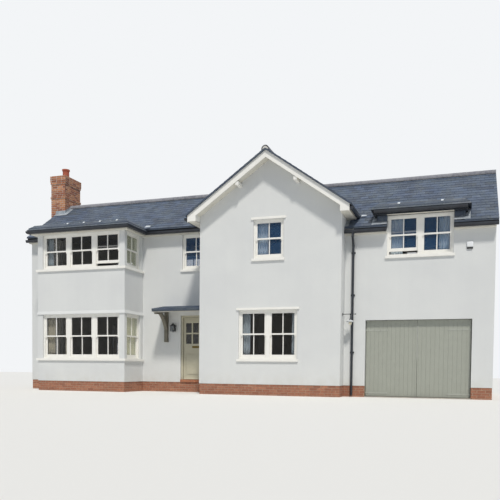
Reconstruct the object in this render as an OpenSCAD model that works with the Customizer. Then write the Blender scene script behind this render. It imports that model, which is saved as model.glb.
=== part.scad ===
// Detached two-storey house with a bay, a gabled wing, a porch and a garage. Millimetres, +Z up.
// The front faces -Y. The origin is under the middle of the main ridge, at the lowest ground level.

/* [Plan] */
// Main range from its left end to the bay
left_w = 1218.5; // [1150:0.5:1300]
// Width of the bay
bay_w = 3395; // [3300:10:3600]
// Entrance wall from the bay to the wing
entrance_w = 2722; // [2600:2:2900]
// Width of the gabled wing
wing_w = 4465; // [4300:5:4600]
// Garage from the wing to the right end
right_w = 4199.5; // [4100:0.5:4500]
// Ridge line to the front wall of the main range
range_d = 2020; // [1950:10:2150]
// Front wall of the garage before that of the main range
garage_out = 775; // [720:5:820]
// Gable wall of the wing before the front wall of the main range
wing_out = 1365; // [1300:5:1450]
// Front of the bay before the front wall of the main range
bay_out = 1260; // [1200:5:1320]
// Thickness of the outer walls
wall_t = 300; // [260:10:340]
// Thickness of the bay walls
bay_t = 240; // [200:10:280]

/* [Heights] */
// Top of the brick plinth
plinth_h = 335; // [250:5:400]
// Setback of the plinth bricks behind the render
plinth_in = 15; // [5:1:25]
// Finished level of the ground floor
floor0_z = 420; // [380:5:450]
// Finished level of the first floor
floor1_z = 3250; // [3150:10:3350]
// Depth of the first floor with its ceiling
floor_t = 260; // [200:10:320]
// Thickness of the garage floor
garage_floor_t = 25; // [15:1:30]
// Joint left round the parts of a floor
floor_gap = 10; // [5:1:20]

/* [Roofs] */
// Pitch of every main slope, in degrees
pitch = 35; // [33:0.5:37]
// Edge of the slates at the eaves of the main range
eave_z = 5535; // [5500:5:5560]
// Edge of the slates of the wing below that of the main range
wing_eave_drop = 32.3; // [20:0.1:60]
// Thickness of the roof, square to the slope
roof_t = 150; // [120:5:180]
// Thickness of the slates at an eave
slate_t = 30; // [20:1:40]
// Fascia beyond the wall at the eaves of the ranges
eave_out = 165; // [140:5:190]
// Fascia beyond the wall at the eaves of the wing
wing_eave_out = 270; // [240:5:300]
// Slates beyond the fascia
slate_out = 50; // [30:5:60]
// Roof beyond the end walls
verge_out = 60; // [40:5:100]
// Roof of the wing beyond its gable wall
wing_verge_out = 370; // [320:10:400]
// Slates beyond the bargeboards
verge_lip = 50; // [10:5:60]
// Thickness of fascia, soffit and verge boards
board_t = 22; // [18:1:30]
// Height of the bargeboards, square to the slope
barge_h = 170; // [140:5:200]
// Soffit of the main range below the edge of its slates
soffit_drop = 217; // [200:1:230]
// Soffit of the garage below the edge of its slates
garage_soffit_drop = 192; // [180:1:200]
// Rise of the slated kerb round the flat roofs
kerb_h = 100; // [60:5:140]
// Radius of the round ridge tiles
ridge_r = 118; // [100:1:130]
// Centre of the round ridge tiles below the top of the slates
ridge_drop = 28; // [10:1:40]
// Side of the square purlin ends
purlin_s = 100; // [80:5:150]
// Purlin ends from the middle of the wing
purlin_x = 900; // [800:10:1000]

/* [Gutters] */
// Radius of the gutters
gutter_r = 60; // [50:1:65]
// Straight lip above the round of the gutters
gutter_lip = 35; // [20:1:40]
// Metal of the gutters
gutter_t = 5; // [4:1:8]
// Bottom of the gutter above the soffit
gutter_up = 20; // [10:1:50]
// Radius of the downpipes
pipe_r = 36; // [30:1:40]
// Gap between a downpipe and its wall
pipe_gap = 30; // [20:1:40]
// Straight length of pipe under a gutter
pipe_stub = 60; // [40:5:100]
// Height of the swan neck back to the wall
pipe_neck = 250; // [200:10:300]
// Outlet of a gutter above its downpipe
outlet_h = 30; // [20:5:50]
// Gap between the wing and the downpipe beside it
wing_pipe_gap = 178; // [100:2:250]
// Socket round a bend of the pipe, beyond the pipe
knee = 6; // [4:1:10]
// Foot of the downpipes above the ground
pipe_foot = 40; // [20:5:100]
// Heights of the pipe clips on the wall
clip_z = [1300, 3000, 4250];
// Height of a pipe clip
clip_h = 50; // [40:5:60]

/* [Windows] */
// Bottom of the ground floor windows
win0_z = 1105; // [1050:5:1150]
// Head of the ground floor windows
head0_z = 2600; // [2550:5:2650]
// Bottom of the first floor windows
win1_z = 4145; // [4100:5:4200]
// Width of a window of one sash
single_w = 955; // [900:5:1000]
// Width of a window of two sashes
pair_w = 1860; // [1800:10:1950]
// Sashes in the window across the front of the bay
bay_sashes = 3; // [2:1:4]
// Pier of the bay beside its front window
bay_pier = 197.5; // [180:0.5:220]
// Pier of the bay before its side window
bay_side_pier = 150; // [120:5:180]
// Pier of the bay behind its side window
bay_back_pier = 180; // [160:5:200]
// Setback of the window frames behind the wall face
frame_in = 60; // [40:5:80]
// Depth of the window frames
frame_d = 110; // [90:5:130]
// Face of the window jambs and heads
jamb = 56; // [45:1:65]
// Face of the mullions between sashes
mullion = 124; // [100:2:140]
// Bottom member of the window frames
frame_sill = 45; // [30:1:60]
// Stiles and top rails of the sashes
stile = 50; // [40:1:60]
// Bottom rail of the sashes
bottom_rail = 92; // [70:2:100]
// Meeting rails of the sashes
meeting = 45; // [35:1:55]
// Glazing bars
bar = 28; // [20:1:35]
// Thickness of a sash
sash_t = 40; // [35:1:45]
// Thickness of the glass
glass_t = 6; // [4:1:12]
// How far the two open sashes are raised
sash_lift = 95; // [0:5:150]
// Height of the window sills
sill_h = 72; // [60:1:80]
// Window sills beyond the wall face
sill_out = 50; // [30:1:60]
// Sills beyond the frame at each end
sill_end = 38; // [20:1:50]
// Height of the head mouldings
head_h = 65; // [50:1:80]
// Head mouldings beyond the wall face
head_out = 40; // [25:1:50]
// Head mouldings beyond the frame at each end
head_end = 66; // [40:1:80]
// Thickness of the curtains
curtain_t = 60; // [40:5:80]
// Width of a drawn curtain
curtain_w = 230; // [150:10:400]
// Centres of the windows at the back from the end wall and from the wing
rear_window_in = 2100; // [1900:50:2300]

/* [Front door] */
// Centre of the front door, and of the window above it, from the wing
door_side = 762.5; // [700:0.5:800]
// Width of the front door leaf
door_w = 890; // [838:1:926]
// Height of the front door leaf
door_h = 2093; // [2040:1:2100]
// Thickness of the front door leaf
door_t = 44; // [40:1:54]
// Face of the door frame
door_jamb = 70; // [60:1:80]
// Gap all round the leaf
door_gap = 7; // [6:1:10]
// Setback of the leaf behind the wall face
door_in = 100; // [80:1:120]
// Stiles of the front door leaf
door_stile = 84; // [70:1:110]
// Height of the glazed part of the leaf
door_glazed_h = 705; // [600:5:750]
// Top rail over the glazed part
door_top_rail = 175; // [120:5:200]
// Glazing bars of the leaf
door_bar = 50; // [30:2:60]
// Height of the lower panel of the leaf
door_panel_h = 750; // [500:10:800]
// Bottom rail of the leaf
door_bottom_rail = 133; // [100:1:200]
// Depth of the sunk panel
panel_sink = 14; // [8:1:18]
// Sunk border round the raised field of the panel
panel_field = 45; // [30:5:70]
// Height of the weatherboard
drip_h = 60; // [40:5:80]
// Weatherboard beyond the leaf
drip_out = 36; // [20:2:40]
// Weatherboard short of the edges of the leaf
drip_in = 20; // [15:1:40]
// Height of one hinge
hinge_h = 100; // [75:5:120]
// Bottoms of the hinges above the foot of the leaf
hinge_z = [200, 1000, 1800];
// Radius of the hinge knuckles
knuckle_r = 8; // [6:1:10]
// Hinge pin behind the leaf
knuckle_out = 10; // [10:1:14]
// Hinge pin in from the edge of the leaf
knuckle_in = 2; // [0:1:4]
// Length of the letter plate
letter_w = 260; // [240:1:300]
// Height of the letter plate
letter_h = 74; // [60:1:90]
// Bottom of the letter plate
letter_z = 1494; // [1450:2:1550]
// Thickness of the letter plate and of the rose of the knob
plate_t = 8; // [5:1:10]
// Radius of the knob
knob_r = 30; // [25:1:38]
// Knob beyond the leaf
knob_out = 60; // [50:1:75]
// Brick step beyond the wall
step_out = 30; // [0:5:60]

/* [Porch] */
// Porch roof beyond the wall
porch_out = 940; // [850:10:1000]
// Left edge of the porch roof from the centre of the door
porch_left = 1139; // [1100:1:1250]
// Top of the porch roof at its front edge
porch_z = 2745; // [2700:5:2800]
// Pitch of the porch roof, in degrees
porch_pitch = 10; // [7:1:14]
// Thickness of the porch roof
porch_t = 45; // [30:5:60]
// Depth of the beam and verge board under the porch slates
porch_beam_h = 70; // [50:5:100]
// Thickness of the boards under the porch slates
porch_soffit_t = 16; // [12:1:22]
// Porch slates beyond the verge board
porch_verge = 20; // [10:1:40]
// Side of the bracket timbers
bracket_s = 115; // [90:5:125]
// Reach of the curved brace
brace_out = 530; // [450:10:600]
// Foot of the bracket post
post_z = 1697; // [1600:1:1800]
// Height where the brace meets the post
brace_z = 2219; // [2100:1:2300]
// Radius of the curved brace
brace_r = 900; // [500:50:1500]
// Thickness of the curved brace
brace_t = 80; // [60:5:100]

/* [Garage door] */
// Pier between the wing and the garage doorway
garage_pier = 626.5; // [600:0.5:700]
// Pier between the garage doorway and the right end
end_pier = 575; // [550:5:650]
// Height of the garage doorway
garage_h = 2284; // [2200:2:2350]
// Setback of the garage doors behind the wall face
garage_in = 130; // [60:1:160]
// Thickness of the garage doors
leaf_t = 45; // [40:1:55]
// Gap between a garage door and its reveal
leaf_gap = 20; // [18:1:25]
// Gap between the two garage doors
meet_gap = 8; // [6:1:10]
// Gap under the garage doors above the floor
leaf_up = 12; // [8:1:20]
// Side of the frame posts behind the garage doors
garage_post = 75; // [60:1:90]
// Depth of the frame posts
garage_post_d = 110; // [75:5:170]
// Height of the ledges behind the boards
ledge_h = 120; // [90:5:150]
// Bottom straps above the foot of the doors
strap_low = 67; // [50:1:150]
// Top straps below the head of the doors
strap_high = 305; // [200:1:400]
// Length of the strap hinges
strap_l = 640; // [500:10:700]
// Height of the strap hinges
strap_h = 45; // [35:1:60]
// Thickness of the strap hinges
strap_t = 6; // [5:1:8]

/* [Dormer] */
// Centre of the dormer from the middle of the garage doorway
dormer_shift = 23; // [0:1:40]
// Width of the dormer over its cheeks
dormer_w = 2430; // [2300:10:2500]
// Fascia of the dormer beyond its cheeks
cheek_out = 80; // [60:5:100]

/* [Chimney] */
// Width of the stack along the house
stack_w = 630; // [560:10:700]
// Depth of the stack across the ridge
stack_d = 1030; // [900:10:1100]
// Stack beyond the end wall
stack_out = 275; // [200:5:300]
// Centre of the stack behind the ridge line
stack_y = 35; // [0:5:60]
// Foot of the brickwork, on the rendered breast, below the main ridge
breast_drop = 600; // [550:10:700]
// Underside of the string course above the main ridge
string_up = 290; // [250:5:350]
// Underside of the corbelled cap above the main ridge
cap_up = 850; // [800:5:900]
// Height of one brick course with its joint
course = 80; // [70:1:85]
// Step of each corbelled course
corbel = 10; // [8:1:22]
// Height of the chimney pot above the cap
pot_h = 385; // [300:5:500]
// Outer radius of the chimney pot
pot_r = 150; // [120:1:160]
// Wall of the chimney pot
pot_t = 25; // [20:1:30]
// Courses of the corbelled cap
cap_courses = 4; // [3:1:5]
// Height of the mortar flaunching on the cap
flaunch_h = 60; // [40:5:90]
// Side of the flue in the stack
flue_w = 190; // [150:5:200]
// Thickness of the lead
lead_t = 4; // [3:1:6]
// Lead over the slates
lead_w = 150; // [120:5:200]
// Lead up the brickwork
lead_up = 160; // [120:5:200]

/* [Fittings] */
// Centre of the wall lantern from the centre of the door
lantern_x = -746; // [-760:1:-680]
// Bottom of the wall lantern
lantern_z = 2019; // [1950:1:2050]
// Height of the wall lantern
lantern_h = 330; // [280:1:340]
// Width of the wall lantern
lantern_w = 170; // [140:1:190]
// Gap between the lantern and the wall
lantern_gap = 40; // [30:1:60]
// Height of the lamp arm on the side of the wing
lamp_z = 2445; // [2350:5:2550]
// Reach of the shade from the wall
lamp_out = 230; // [200:5:250]
// Reach of the ball at the end of the arm
lamp_reach = 330; // [300:5:360]
// Radius of the wall plate of the lamp
plate_r = 45; // [35:1:55]
// Radius of the lamp arm
arm_r = 10; // [8:1:12]
// Length of the stem over the shade
lamp_drop = 131; // [90:1:160]
// Radius of the shade
shade_r = 80; // [70:1:100]
// Height of the shade
shade_h = 100; // [80:5:120]
// Radius of the globe
globe_r = 46; // [40:1:55]
// Globe below the shade
globe_h = 94; // [70:1:110]
// Side of the alarm box
alarm_w = 175; // [150:1:200]
// Thickness of the alarm box
alarm_t = 60; // [40:5:90]
// Bottom of the alarm box
alarm_z = 4257; // [4200:1:4300]
// Centre of the alarm box from the right end
alarm_in = 681; // [620:1:720]

/* [Hidden] */
$fn = 48;
render_c = "#eceae4";
brick_c = "#a0624a";
slate_c = "#56606e";
paint_c = "#efece2";
cream_c = "#d9d3bd";
black_c = "#26282c";
floor_c = "#b9b2a6";
door_c = "#b3ad92";
garage_c = "#a9aca4";

// Gap left where two sloping faces meet, and the reach of a cut beyond what it cuts
seat = 0.1;
over = 10;

// Plan: the parts of the front stand side by side, from the left end to the right end
house_w = left_w + bay_w + entrance_w + wing_w + right_w;
end_x = house_w / 2;
bay_l = -end_x + left_w;
bay_r = bay_l + bay_w;
bay_x = bay_l + bay_w / 2;
wing_half = wing_w / 2;
wing_l = bay_r + entrance_w;
wing_r = wing_l + wing_w;
wing_x = wing_l + wing_half;
door_x = wing_l - door_side;
garage_l = wing_r + garage_pier;
garage_r = end_x - end_pier;
garage_w = garage_r - garage_l;
garage_x = garage_l + garage_w / 2;
dormer_x = garage_x + dormer_shift;
dormer_l = dormer_x - dormer_w / 2;
dormer_r = dormer_x + dormer_w / 2;

// Front walls from the ridge line
inner_d = range_d - wall_t;
garage_d = range_d + garage_out;
wing_d = range_d + wing_out;
bay_d = range_d + bay_out;
wing_edge = wing_half + wing_eave_out;
verge_y = wing_d + wing_verge_out;
bay_front_w = bay_w - 2 * bay_pier;
bay_side_w = bay_out - bay_side_pier - bay_back_pier;
bay_side_y = -(bay_d - bay_side_pier - bay_side_w / 2);

// Ridges and soffits, to the millimetre, from the edges of the slates
slope = tan(pitch);
ridge_z = round(eave_z + slope * (range_d + eave_out + slate_out));
wing_ridge_z = round(eave_z - wing_eave_drop + slope * (wing_edge + slate_out));
soffit_z = eave_z - soffit_drop;
garage_soffit_z = floor(roof_z(garage_d + eave_out + slate_out)) - garage_soffit_drop;
breast_z = ridge_z - breast_drop;
string_z = ridge_z + string_up;
cap_z = ridge_z + cap_up;

// Roofs: vertical thickness of roof, slates and boards, and the flat roofs
slab_v = roof_t / cos(pitch);
slate_v = slate_t / cos(pitch);
board_v = board_t / cos(pitch);
ceiling_z = soffit_z + board_t;
flat_edge_z = ridge_z - slope * (range_d + eave_out + slate_out);
flat_foot_z = flat_edge_z - slate_v;
flat_z = flat_edge_z + kerb_h;
flat_in = (ridge_z - flat_z) / slope;
kerb_run = kerb_h / slope;

// Height of the slates at a distance from their ridge line, and of the underside of the roof
function roof_z(d) = ridge_z - slope * d;
function under_z(d) = roof_z(d) - slab_v - seat;
function wing_roof_z(d) = wing_ridge_z - slope * d;
function wing_under_z(d) = wing_roof_z(d) - slab_v - seat;

// Doorways
door_open_w = door_w + 2 * door_gap + 2 * door_jamb;
door_foot_z = floor0_z + door_gap;
door_open_z = door_foot_z + door_h + door_gap + door_jamb;
door_face_y = -range_d + door_in;
leaf_w = (garage_w - 2 * leaf_gap - meet_gap) / 2;
leaf_z = garage_floor_t + leaf_up;
leaf_h = garage_h - leaf_up - leaf_z;
leaf_y = -garage_d + garage_in;
strap_z = [leaf_z + strap_low, leaf_z + leaf_h - strap_high];

// Every window: [x, wall, bottom, head, width, sashes, lifted sashes], as seen on the front side
head1_z = soffit_z;
bay_places = [[bay_x, bay_d, win0_z, head0_z, bay_front_w, bay_sashes, []],
              [bay_x, bay_d, win1_z, head1_z, bay_front_w, bay_sashes, [bay_sashes - 1]]];
bay_side_places = [for (p = bay_places) [0, 0, p[2], p[3], bay_side_w, 1, []]];
gable_places = [[wing_x, wing_d, win0_z, head0_z, pair_w, 2, []],
                [wing_x, wing_d, win1_z, head1_z, single_w, 1, []]];
door_window = [door_x, range_d, win1_z, head1_z, single_w, 1, []];
front_places = concat(gable_places, [door_window]);
dormer_place = [dormer_x, garage_d, win1_z, head1_z, pair_w, 2, [0]];
storeys = [[win0_z, head0_z], [win1_z, head1_z]];
rear_range_places = [for (x = [-end_x + rear_window_in, wing_l - rear_window_in], z = storeys)
                     [x, range_d, z[0], z[1], pair_w, 2, []]];
rear_places = concat(rear_range_places, gable_places, [[dormer_x, garage_d, win0_z, head0_z, pair_w, 2, []]]);

// A box between two corners
module box(x0, x1, y0, y1, z0, z1) {
  translate([x0, y0, z0]) cube([x1 - x0, y1 - y0, z1 - z0]);
}

// Draws a (y, z) outline along X, and an (x, z) outline along Y
module along_x(x0, x1) {
  translate([x0, 0, 0]) rotate([90, 0, 90]) linear_extrude(x1 - x0) children();
}
module along_y(y0, y1) {
  translate([0, y1, 0]) rotate([90, 0, 0]) linear_extrude(y1 - y0) children();
}

// The children, and again at the back of the house, or on the other side of a line across it
module front_and_back() {
  children();
  mirror([0, 1, 0]) children();
}
module both_sides(x) {
  translate([x, 0, 0]) children();
  translate([x, 0, 0]) mirror([1, 0, 0]) children();
}

// Outline in (y, z) of a wall under the main roof, on the front side
module wall_profile(d, z0) {
  polygon([[-d, z0], [-d + wall_t, z0], [-d + wall_t, under_z(d - wall_t)], [-d, under_z(d)]]);
}

// Outline of one slope from the ridge to the eave. d is the wall, out the fascia beyond it.
// grow is a play left all round.
module slope_profile(d, out, top_z, grow = 0) {
  d1 = d + out - board_t;
  d2 = d + out + slate_out;
  slate_low = top_z - slate_v - grow;
  slab_low = top_z - slab_v - grow;
  polygon([[0, top_z + grow], [-d2, top_z + grow - slope * d2], [-d2, slate_low - slope * d2],
           [-d1, slate_low - slope * d1], [-d1, slab_low - slope * d1], [0, slab_low]]);
}

// All that lies under the main slates, lowered by drop
module under_range(drop) {
  far = verge_y + range_d;
  z = ridge_z - drop;
  along_x(-house_w, house_w)
    polygon([[-far, 0], [far, 0], [far, z - slope * far], [0, z], [-far, z - slope * far]]);
}

// All that the wing fills, inside its walls, its eaves and its slates
module under_wing() {
  e = wing_edge + slate_out;
  z = wing_roof_z(e);
  side = [[e, z + seat], [e, z - slate_v], [wing_edge, z - slate_v],
          [wing_edge, soffit_z], [wing_half, soffit_z], [wing_half, 0]];
  translate([wing_x, 0, 0]) along_y(-verge_y - house_w, verge_y + house_w)
    polygon(concat([[0, wing_ridge_z + seat]], side, [for (i = [5:-1:0]) [-side[i][0], side[i][1]]]));
}

// A hole through a wall that faces the front, over its whole thickness
module hole(x, w, d, z0, z1, t) {
  box(x - w / 2, x + w / 2, -d - over, -d + t + over, z0, z1);
}

// Height of one pane. The upper and lower panes of a window are equally tall.
function pane_height(h) = (h - jamb - frame_sill - stile - meeting - bottom_rail) / 2;

// Window of several sashes. Its face looks to -Y and its foot is at the origin.
// lifted lists the sashes that stand open.
module window_frame(w, h, n, lifted) {
  clear = (w - 2 * jamb - (n - 1) * mullion) / n;
  pane_h = pane_height(h);
  difference() {
    box(-w / 2, w / 2, 0, frame_d, 0, h);
    for (i = [0:n - 1])
      translate([-w / 2 + jamb + i * (clear + mullion), -over, frame_sill])
        cube([clear, frame_d + 2 * over, h - jamb - frame_sill]);
  }
  for (i = [0:n - 1]) translate([-w / 2 + jamb + clear / 2 + i * (clear + mullion), 0, frame_sill]) {
    up = len(search(i, lifted)) > 0 ? sash_lift : 0;
    translate([0, frame_d / 2 - sash_t, bottom_rail + pane_h]) sash(clear, pane_h, meeting, stile);
    translate([0, frame_d / 2, up]) sash(clear, pane_h, bottom_rail, meeting);
  }
}

// One sash round panes of height h, with a bar down its middle
module sash(w, h, foot, top) {
  difference() {
    box(-w / 2, w / 2, 0, sash_t, 0, foot + h + top);
    for (x = [stile - w / 2, bar / 2])
      translate([x, -over, foot]) cube([w / 2 - stile - bar / 2, sash_t + 2 * over, h]);
  }
}

// The glass of the same window
module window_panes(w, h, n, lifted) {
  clear = (w - 2 * jamb - (n - 1) * mullion) / n;
  pane_h = pane_height(h);
  pane_w = clear / 2 - stile - bar / 2;
  for (i = [0:n - 1], x = [stile - clear / 2, bar / 2])
    translate([-w / 2 + jamb + clear / 2 + i * (clear + mullion) + x, frame_d / 2, frame_sill]) {
      up = len(search(i, lifted)) > 0 ? sash_lift : 0;
      translate([0, -(sash_t + glass_t) / 2, bottom_rail + pane_h + meeting]) cube([pane_w, glass_t, pane_h]);
      translate([0, (sash_t - glass_t) / 2, bottom_rail + up]) cube([pane_w, glass_t, pane_h]);
    }
}

// Puts frames, panes or holes at the places of a list
module frames(places) {
  for (p = places) translate([p[0], -p[1] + frame_in, p[2]]) window_frame(p[4], p[3] - p[2], p[5], p[6]);
}
module panes(places) {
  for (p = places) translate([p[0], -p[1] + frame_in, p[2]]) window_panes(p[4], p[3] - p[2], p[5], p[6]);
}
module holes(places, t = wall_t) {
  for (p = places) hole(p[0], p[4], p[1], p[2] - sill_h, p[3], t);
}

// Turns a child from the front to the right side of the bay, and repeats it on the left
module bay_sides() {
  both_sides(bay_x) translate([bay_w / 2, bay_side_y, 0]) rotate([0, 0, 90]) children();
}

// The plinth: strips of brick along the front, along the back and across the house
module plinth_strip(x0, x1, d, t = wall_t) {
  box(x0, x1, -d + plinth_in, -d + t, 0, plinth_h);
}
module plinth_along_front() color(brick_c) {
  plinth_strip(-end_x + wall_t, bay_l + plinth_in, range_d);
  plinth_strip(bay_l + bay_t, bay_r - bay_t, bay_d, bay_t);
  plinth_strip(bay_r - plinth_in, wing_l + plinth_in, range_d);
  plinth_strip(wing_l + wall_t, wing_r - wall_t, wing_d);
  plinth_strip(wing_r - plinth_in, garage_l, garage_d);
  plinth_strip(garage_r, end_x - wall_t, garage_d);
  box(stack_x0 + plinth_in, -end_x + plinth_in, stack_y0 + plinth_in, stack_y1 - plinth_in, 0, plinth_h);
}
module plinth_along_back() color(brick_c) mirror([0, 1, 0]) {
  plinth_strip(-end_x + wall_t, wing_l + plinth_in, range_d);
  plinth_strip(wing_l + wall_t, wing_r - wall_t, wing_d);
  plinth_strip(wing_r - plinth_in, end_x - wall_t, garage_d);
}
module plinth_across() color(brick_c) {
  box(-end_x + plinth_in, -end_x + wall_t, -range_d + plinth_in, range_d - plinth_in, 0, plinth_h);
  box(end_x - wall_t, end_x - plinth_in, -garage_d + plinth_in, garage_d - plinth_in, 0, plinth_h);
  both_sides(bay_x)
    box(-bay_w / 2 + plinth_in, -bay_w / 2 + bay_t, -bay_d + plinth_in, -range_d + plinth_in, 0, plinth_h);
  front_and_back() {
    box(wing_l + plinth_in, wing_l + wall_t, -wing_d + plinth_in, -range_d + plinth_in, 0, plinth_h);
    box(wing_r - wall_t, wing_r - plinth_in, -wing_d + plinth_in, -garage_d + plinth_in, 0, plinth_h);
  }
}

// Floors inside the walls, parted by a joint where the plan steps
module house_slabs(z0, z1) {
  box(-end_x + wall_t, wing_l + wall_t - floor_gap, -inner_d, inner_d, z0, z1);
  box(wing_l + wall_t, wing_r - wall_t, -wing_d + wall_t, wing_d - wall_t, z0, z1);
  box(bay_l + bay_t, bay_r - bay_t, -bay_d + bay_t, -inner_d - floor_gap, z0, z1);
}
module garage_slab(z0, z1) {
  box(wing_r - wall_t + floor_gap, end_x - wall_t, -garage_d + wall_t, garage_d - wall_t, z0, z1);
}
module ground_floor() color(floor_c) house_slabs(0, floor0_z);
module garage_floor() color(floor_c) {
  garage_slab(0, garage_floor_t);
  box(garage_l, garage_r, -garage_d, -garage_d + wall_t, 0, garage_floor_t);
}
module first_floor() color(floor_c) {
  house_slabs(floor1_z - floor_t, floor1_z);
  garage_slab(floor1_z - floor_t, floor1_z);
}

// Rendered walls
module range_wall_left() color(render_c) along_x(-end_x + wall_t, bay_l) wall_profile(range_d, plinth_h);
module entrance_walls() color(render_c) {
  along_x(bay_r, door_x - door_open_w / 2) wall_profile(range_d, plinth_h);
  along_x(door_x + door_open_w / 2, wing_l) wall_profile(range_d, plinth_h);
}
module entrance_wall_over() color(render_c) difference() {
  along_x(door_x - door_open_w / 2, door_x + door_open_w / 2) wall_profile(range_d, door_open_z);
  holes([door_window]);
}
module bay_front_wall() color(render_c) difference() {
  box(bay_l, bay_r, -bay_d, -bay_d + bay_t, plinth_h, ceiling_z);
  holes(bay_places, bay_t);
  bay_sides() holes(bay_side_places, bay_t);
}
module bay_side_walls() color(render_c) difference() {
  both_sides(bay_x)
    box(-bay_w / 2, -bay_w / 2 + bay_t, -bay_d + bay_t, -range_d, plinth_h, ceiling_z);
  bay_sides() holes(bay_side_places, bay_t);
}
module wing_end_wall() difference() {
  translate([wing_x, 0, 0]) along_y(-wing_d, -wing_d + wall_t)
    polygon([[-wing_half, plinth_h], [wing_half, plinth_h], [wing_half, wing_under_z(wing_half)],
             [0, wing_under_z(0)], [-wing_half, wing_under_z(wing_half)]]);
  holes(gable_places);
}
module wing_front_wall() color(render_c) wing_end_wall();
module wing_rear_wall() color(render_c) mirror([0, 1, 0]) wing_end_wall();
module wing_side_profile() {
  inner = wing_half - wall_t;
  polygon([[-wing_half, plinth_h], [-inner, plinth_h], [-inner, wing_under_z(inner)],
           [-wing_half, wing_under_z(wing_half)]]);
}
module wing_side_walls() color(render_c) front_and_back() translate([wing_x, 0, 0]) {
  along_y(-wing_d + wall_t, -inner_d) wing_side_profile();
  mirror([1, 0, 0]) along_y(-wing_d + wall_t, -garage_d + wall_t) wing_side_profile();
}
module garage_piers() color(render_c) {
  along_x(wing_r, garage_l) wall_profile(garage_d, plinth_h);
  along_x(garage_r, end_x - wall_t) wall_profile(garage_d, plinth_h);
}
module garage_wall_over() color(render_c) difference() {
  along_x(garage_l, garage_r) wall_profile(garage_d, garage_h);
  holes([dormer_place]);
}
module rear_walls() color(render_c) mirror([0, 1, 0]) difference() {
  union() {
    along_x(-end_x + wall_t, wing_l) wall_profile(range_d, plinth_h);
    along_x(wing_r, end_x - wall_t) wall_profile(garage_d, plinth_h);
  }
  holes(concat(rear_places, [dormer_place]));
}
module end_wall(x, d) {
  along_x(x, x + wall_t)
    polygon([[-d, plinth_h], [d, plinth_h], [d, under_z(d)], [0, under_z(0)], [-d, under_z(d)]]);
}
module end_walls() color(render_c) difference() {
  union() {
    end_wall(-end_x, range_d);
    end_wall(end_x - wall_t, garage_d);
  }
  stack_shaft();
}

// Slated roofs of the main range. The slab is cut for the wing, the stack and the half-dormer.
module range_slopes() difference() {
  union() {
    along_x(-end_x - verge_out, wing_x) slope_profile(range_d, eave_out, ridge_z);
    along_x(wing_x, end_x + verge_out) slope_profile(garage_d, eave_out, ridge_z);
  }
  under_wing();
  box(dormer_x - pair_w / 2, dormer_x + pair_w / 2, -verge_y, -flat_in, plinth_h, ceiling_z);
}
module front_roof() color(slate_c) difference() {
  range_slopes();
  stack_shaft();
}
module rear_roof() color(slate_c) difference() {
  mirror([0, 1, 0]) range_slopes();
  stack_shaft();
}

// Slopes of the wing: slates that lap the bargeboards, on a slab that ends behind them
module wing_slope() difference() {
  e = wing_edge + slate_out;
  z = wing_ridge_z;
  union() {
    along_y(-verge_y + board_t, verge_y - board_t) slope_profile(wing_half, wing_eave_out, z);
    along_y(-verge_y - verge_lip, verge_y + verge_lip)
      polygon([[0, z], [-e, z - slope * e], [-e, z - slope * e - slate_v], [0, z - slate_v]]);
  }
  under_range(slab_v);
}
module wing_roof_left() color(slate_c) translate([wing_x, 0, 0]) wing_slope();
module wing_roof_right() color(slate_c) translate([wing_x, 0, 0]) mirror([1, 0, 0]) wing_slope();

// Flat roof with a slated kerb on three sides. side is the fascia beyond x0 and x1, back the far end.
module flat_roof(x0, x1, side, d, back) {
  f = d + eave_out - board_t;
  o = d + eave_out + slate_out;
  intersection() {
    along_x(x0 - side - slate_out, x1 + side + slate_out)
      polygon([[-o, flat_foot_z], [-o, flat_edge_z], [-o + kerb_run, flat_z], [back, flat_z],
               [back, ceiling_z], [-f, ceiling_z], [-f, flat_foot_z]]);
    along_y(-o, back) {
      l = x0 - side;
      r = x1 + side;
      polygon([[l - slate_out, flat_foot_z], [l - slate_out, flat_edge_z], [l - slate_out + kerb_run, flat_z],
               [r + slate_out - kerb_run, flat_z], [r + slate_out, flat_edge_z], [r + slate_out, flat_foot_z],
               [r - board_t, flat_foot_z], [r - board_t, ceiling_z], [l + board_t, ceiling_z],
               [l + board_t, flat_foot_z]]);
    }
  }
}
module bay_roof() color(slate_c) difference() {
  union() {
    flat_roof(bay_l, bay_r, eave_out, bay_d, -range_d);
    box(bay_l, bay_r, -range_d, -inner_d, ceiling_z, flat_z);
  }
  along_x(-house_w, house_w) slope_profile(range_d, eave_out, ridge_z, seat);
}
module dormer_roofs() color(slate_c) front_and_back() difference() {
  flat_roof(dormer_l, dormer_r, cheek_out, garage_d, -flat_in);
  under_range(-seat);
}
module dormer_cheeks() color(slate_c) front_and_back() difference() {
  both_sides(dormer_x)
    box(-dormer_w / 2, -pair_w / 2, -garage_d, -flat_in, garage_soffit_z, ceiling_z);
  under_range(-seat);
}

// Round ridge tiles bedded on the slates
module ridge_profile(z) {
  difference() {
    union() {
      translate([0, z - ridge_drop]) circle(ridge_r);
      translate([-ridge_r, z - ridge_r]) square([2 * ridge_r, ridge_r - ridge_drop]);
    }
    polygon([[-z, z + seat - slope * z], [0, z + seat], [z, z + seat - slope * z]]);
  }
}
module ridge_tiles() color("#8c8a90") {
  difference() {
    along_x(stack_x1, end_x + verge_out) ridge_profile(ridge_z);
    under_wing();
  }
  translate([wing_x, 0, 0]) along_y(-verge_y - verge_lip, verge_y + verge_lip) ridge_profile(wing_ridge_z);
}

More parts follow.
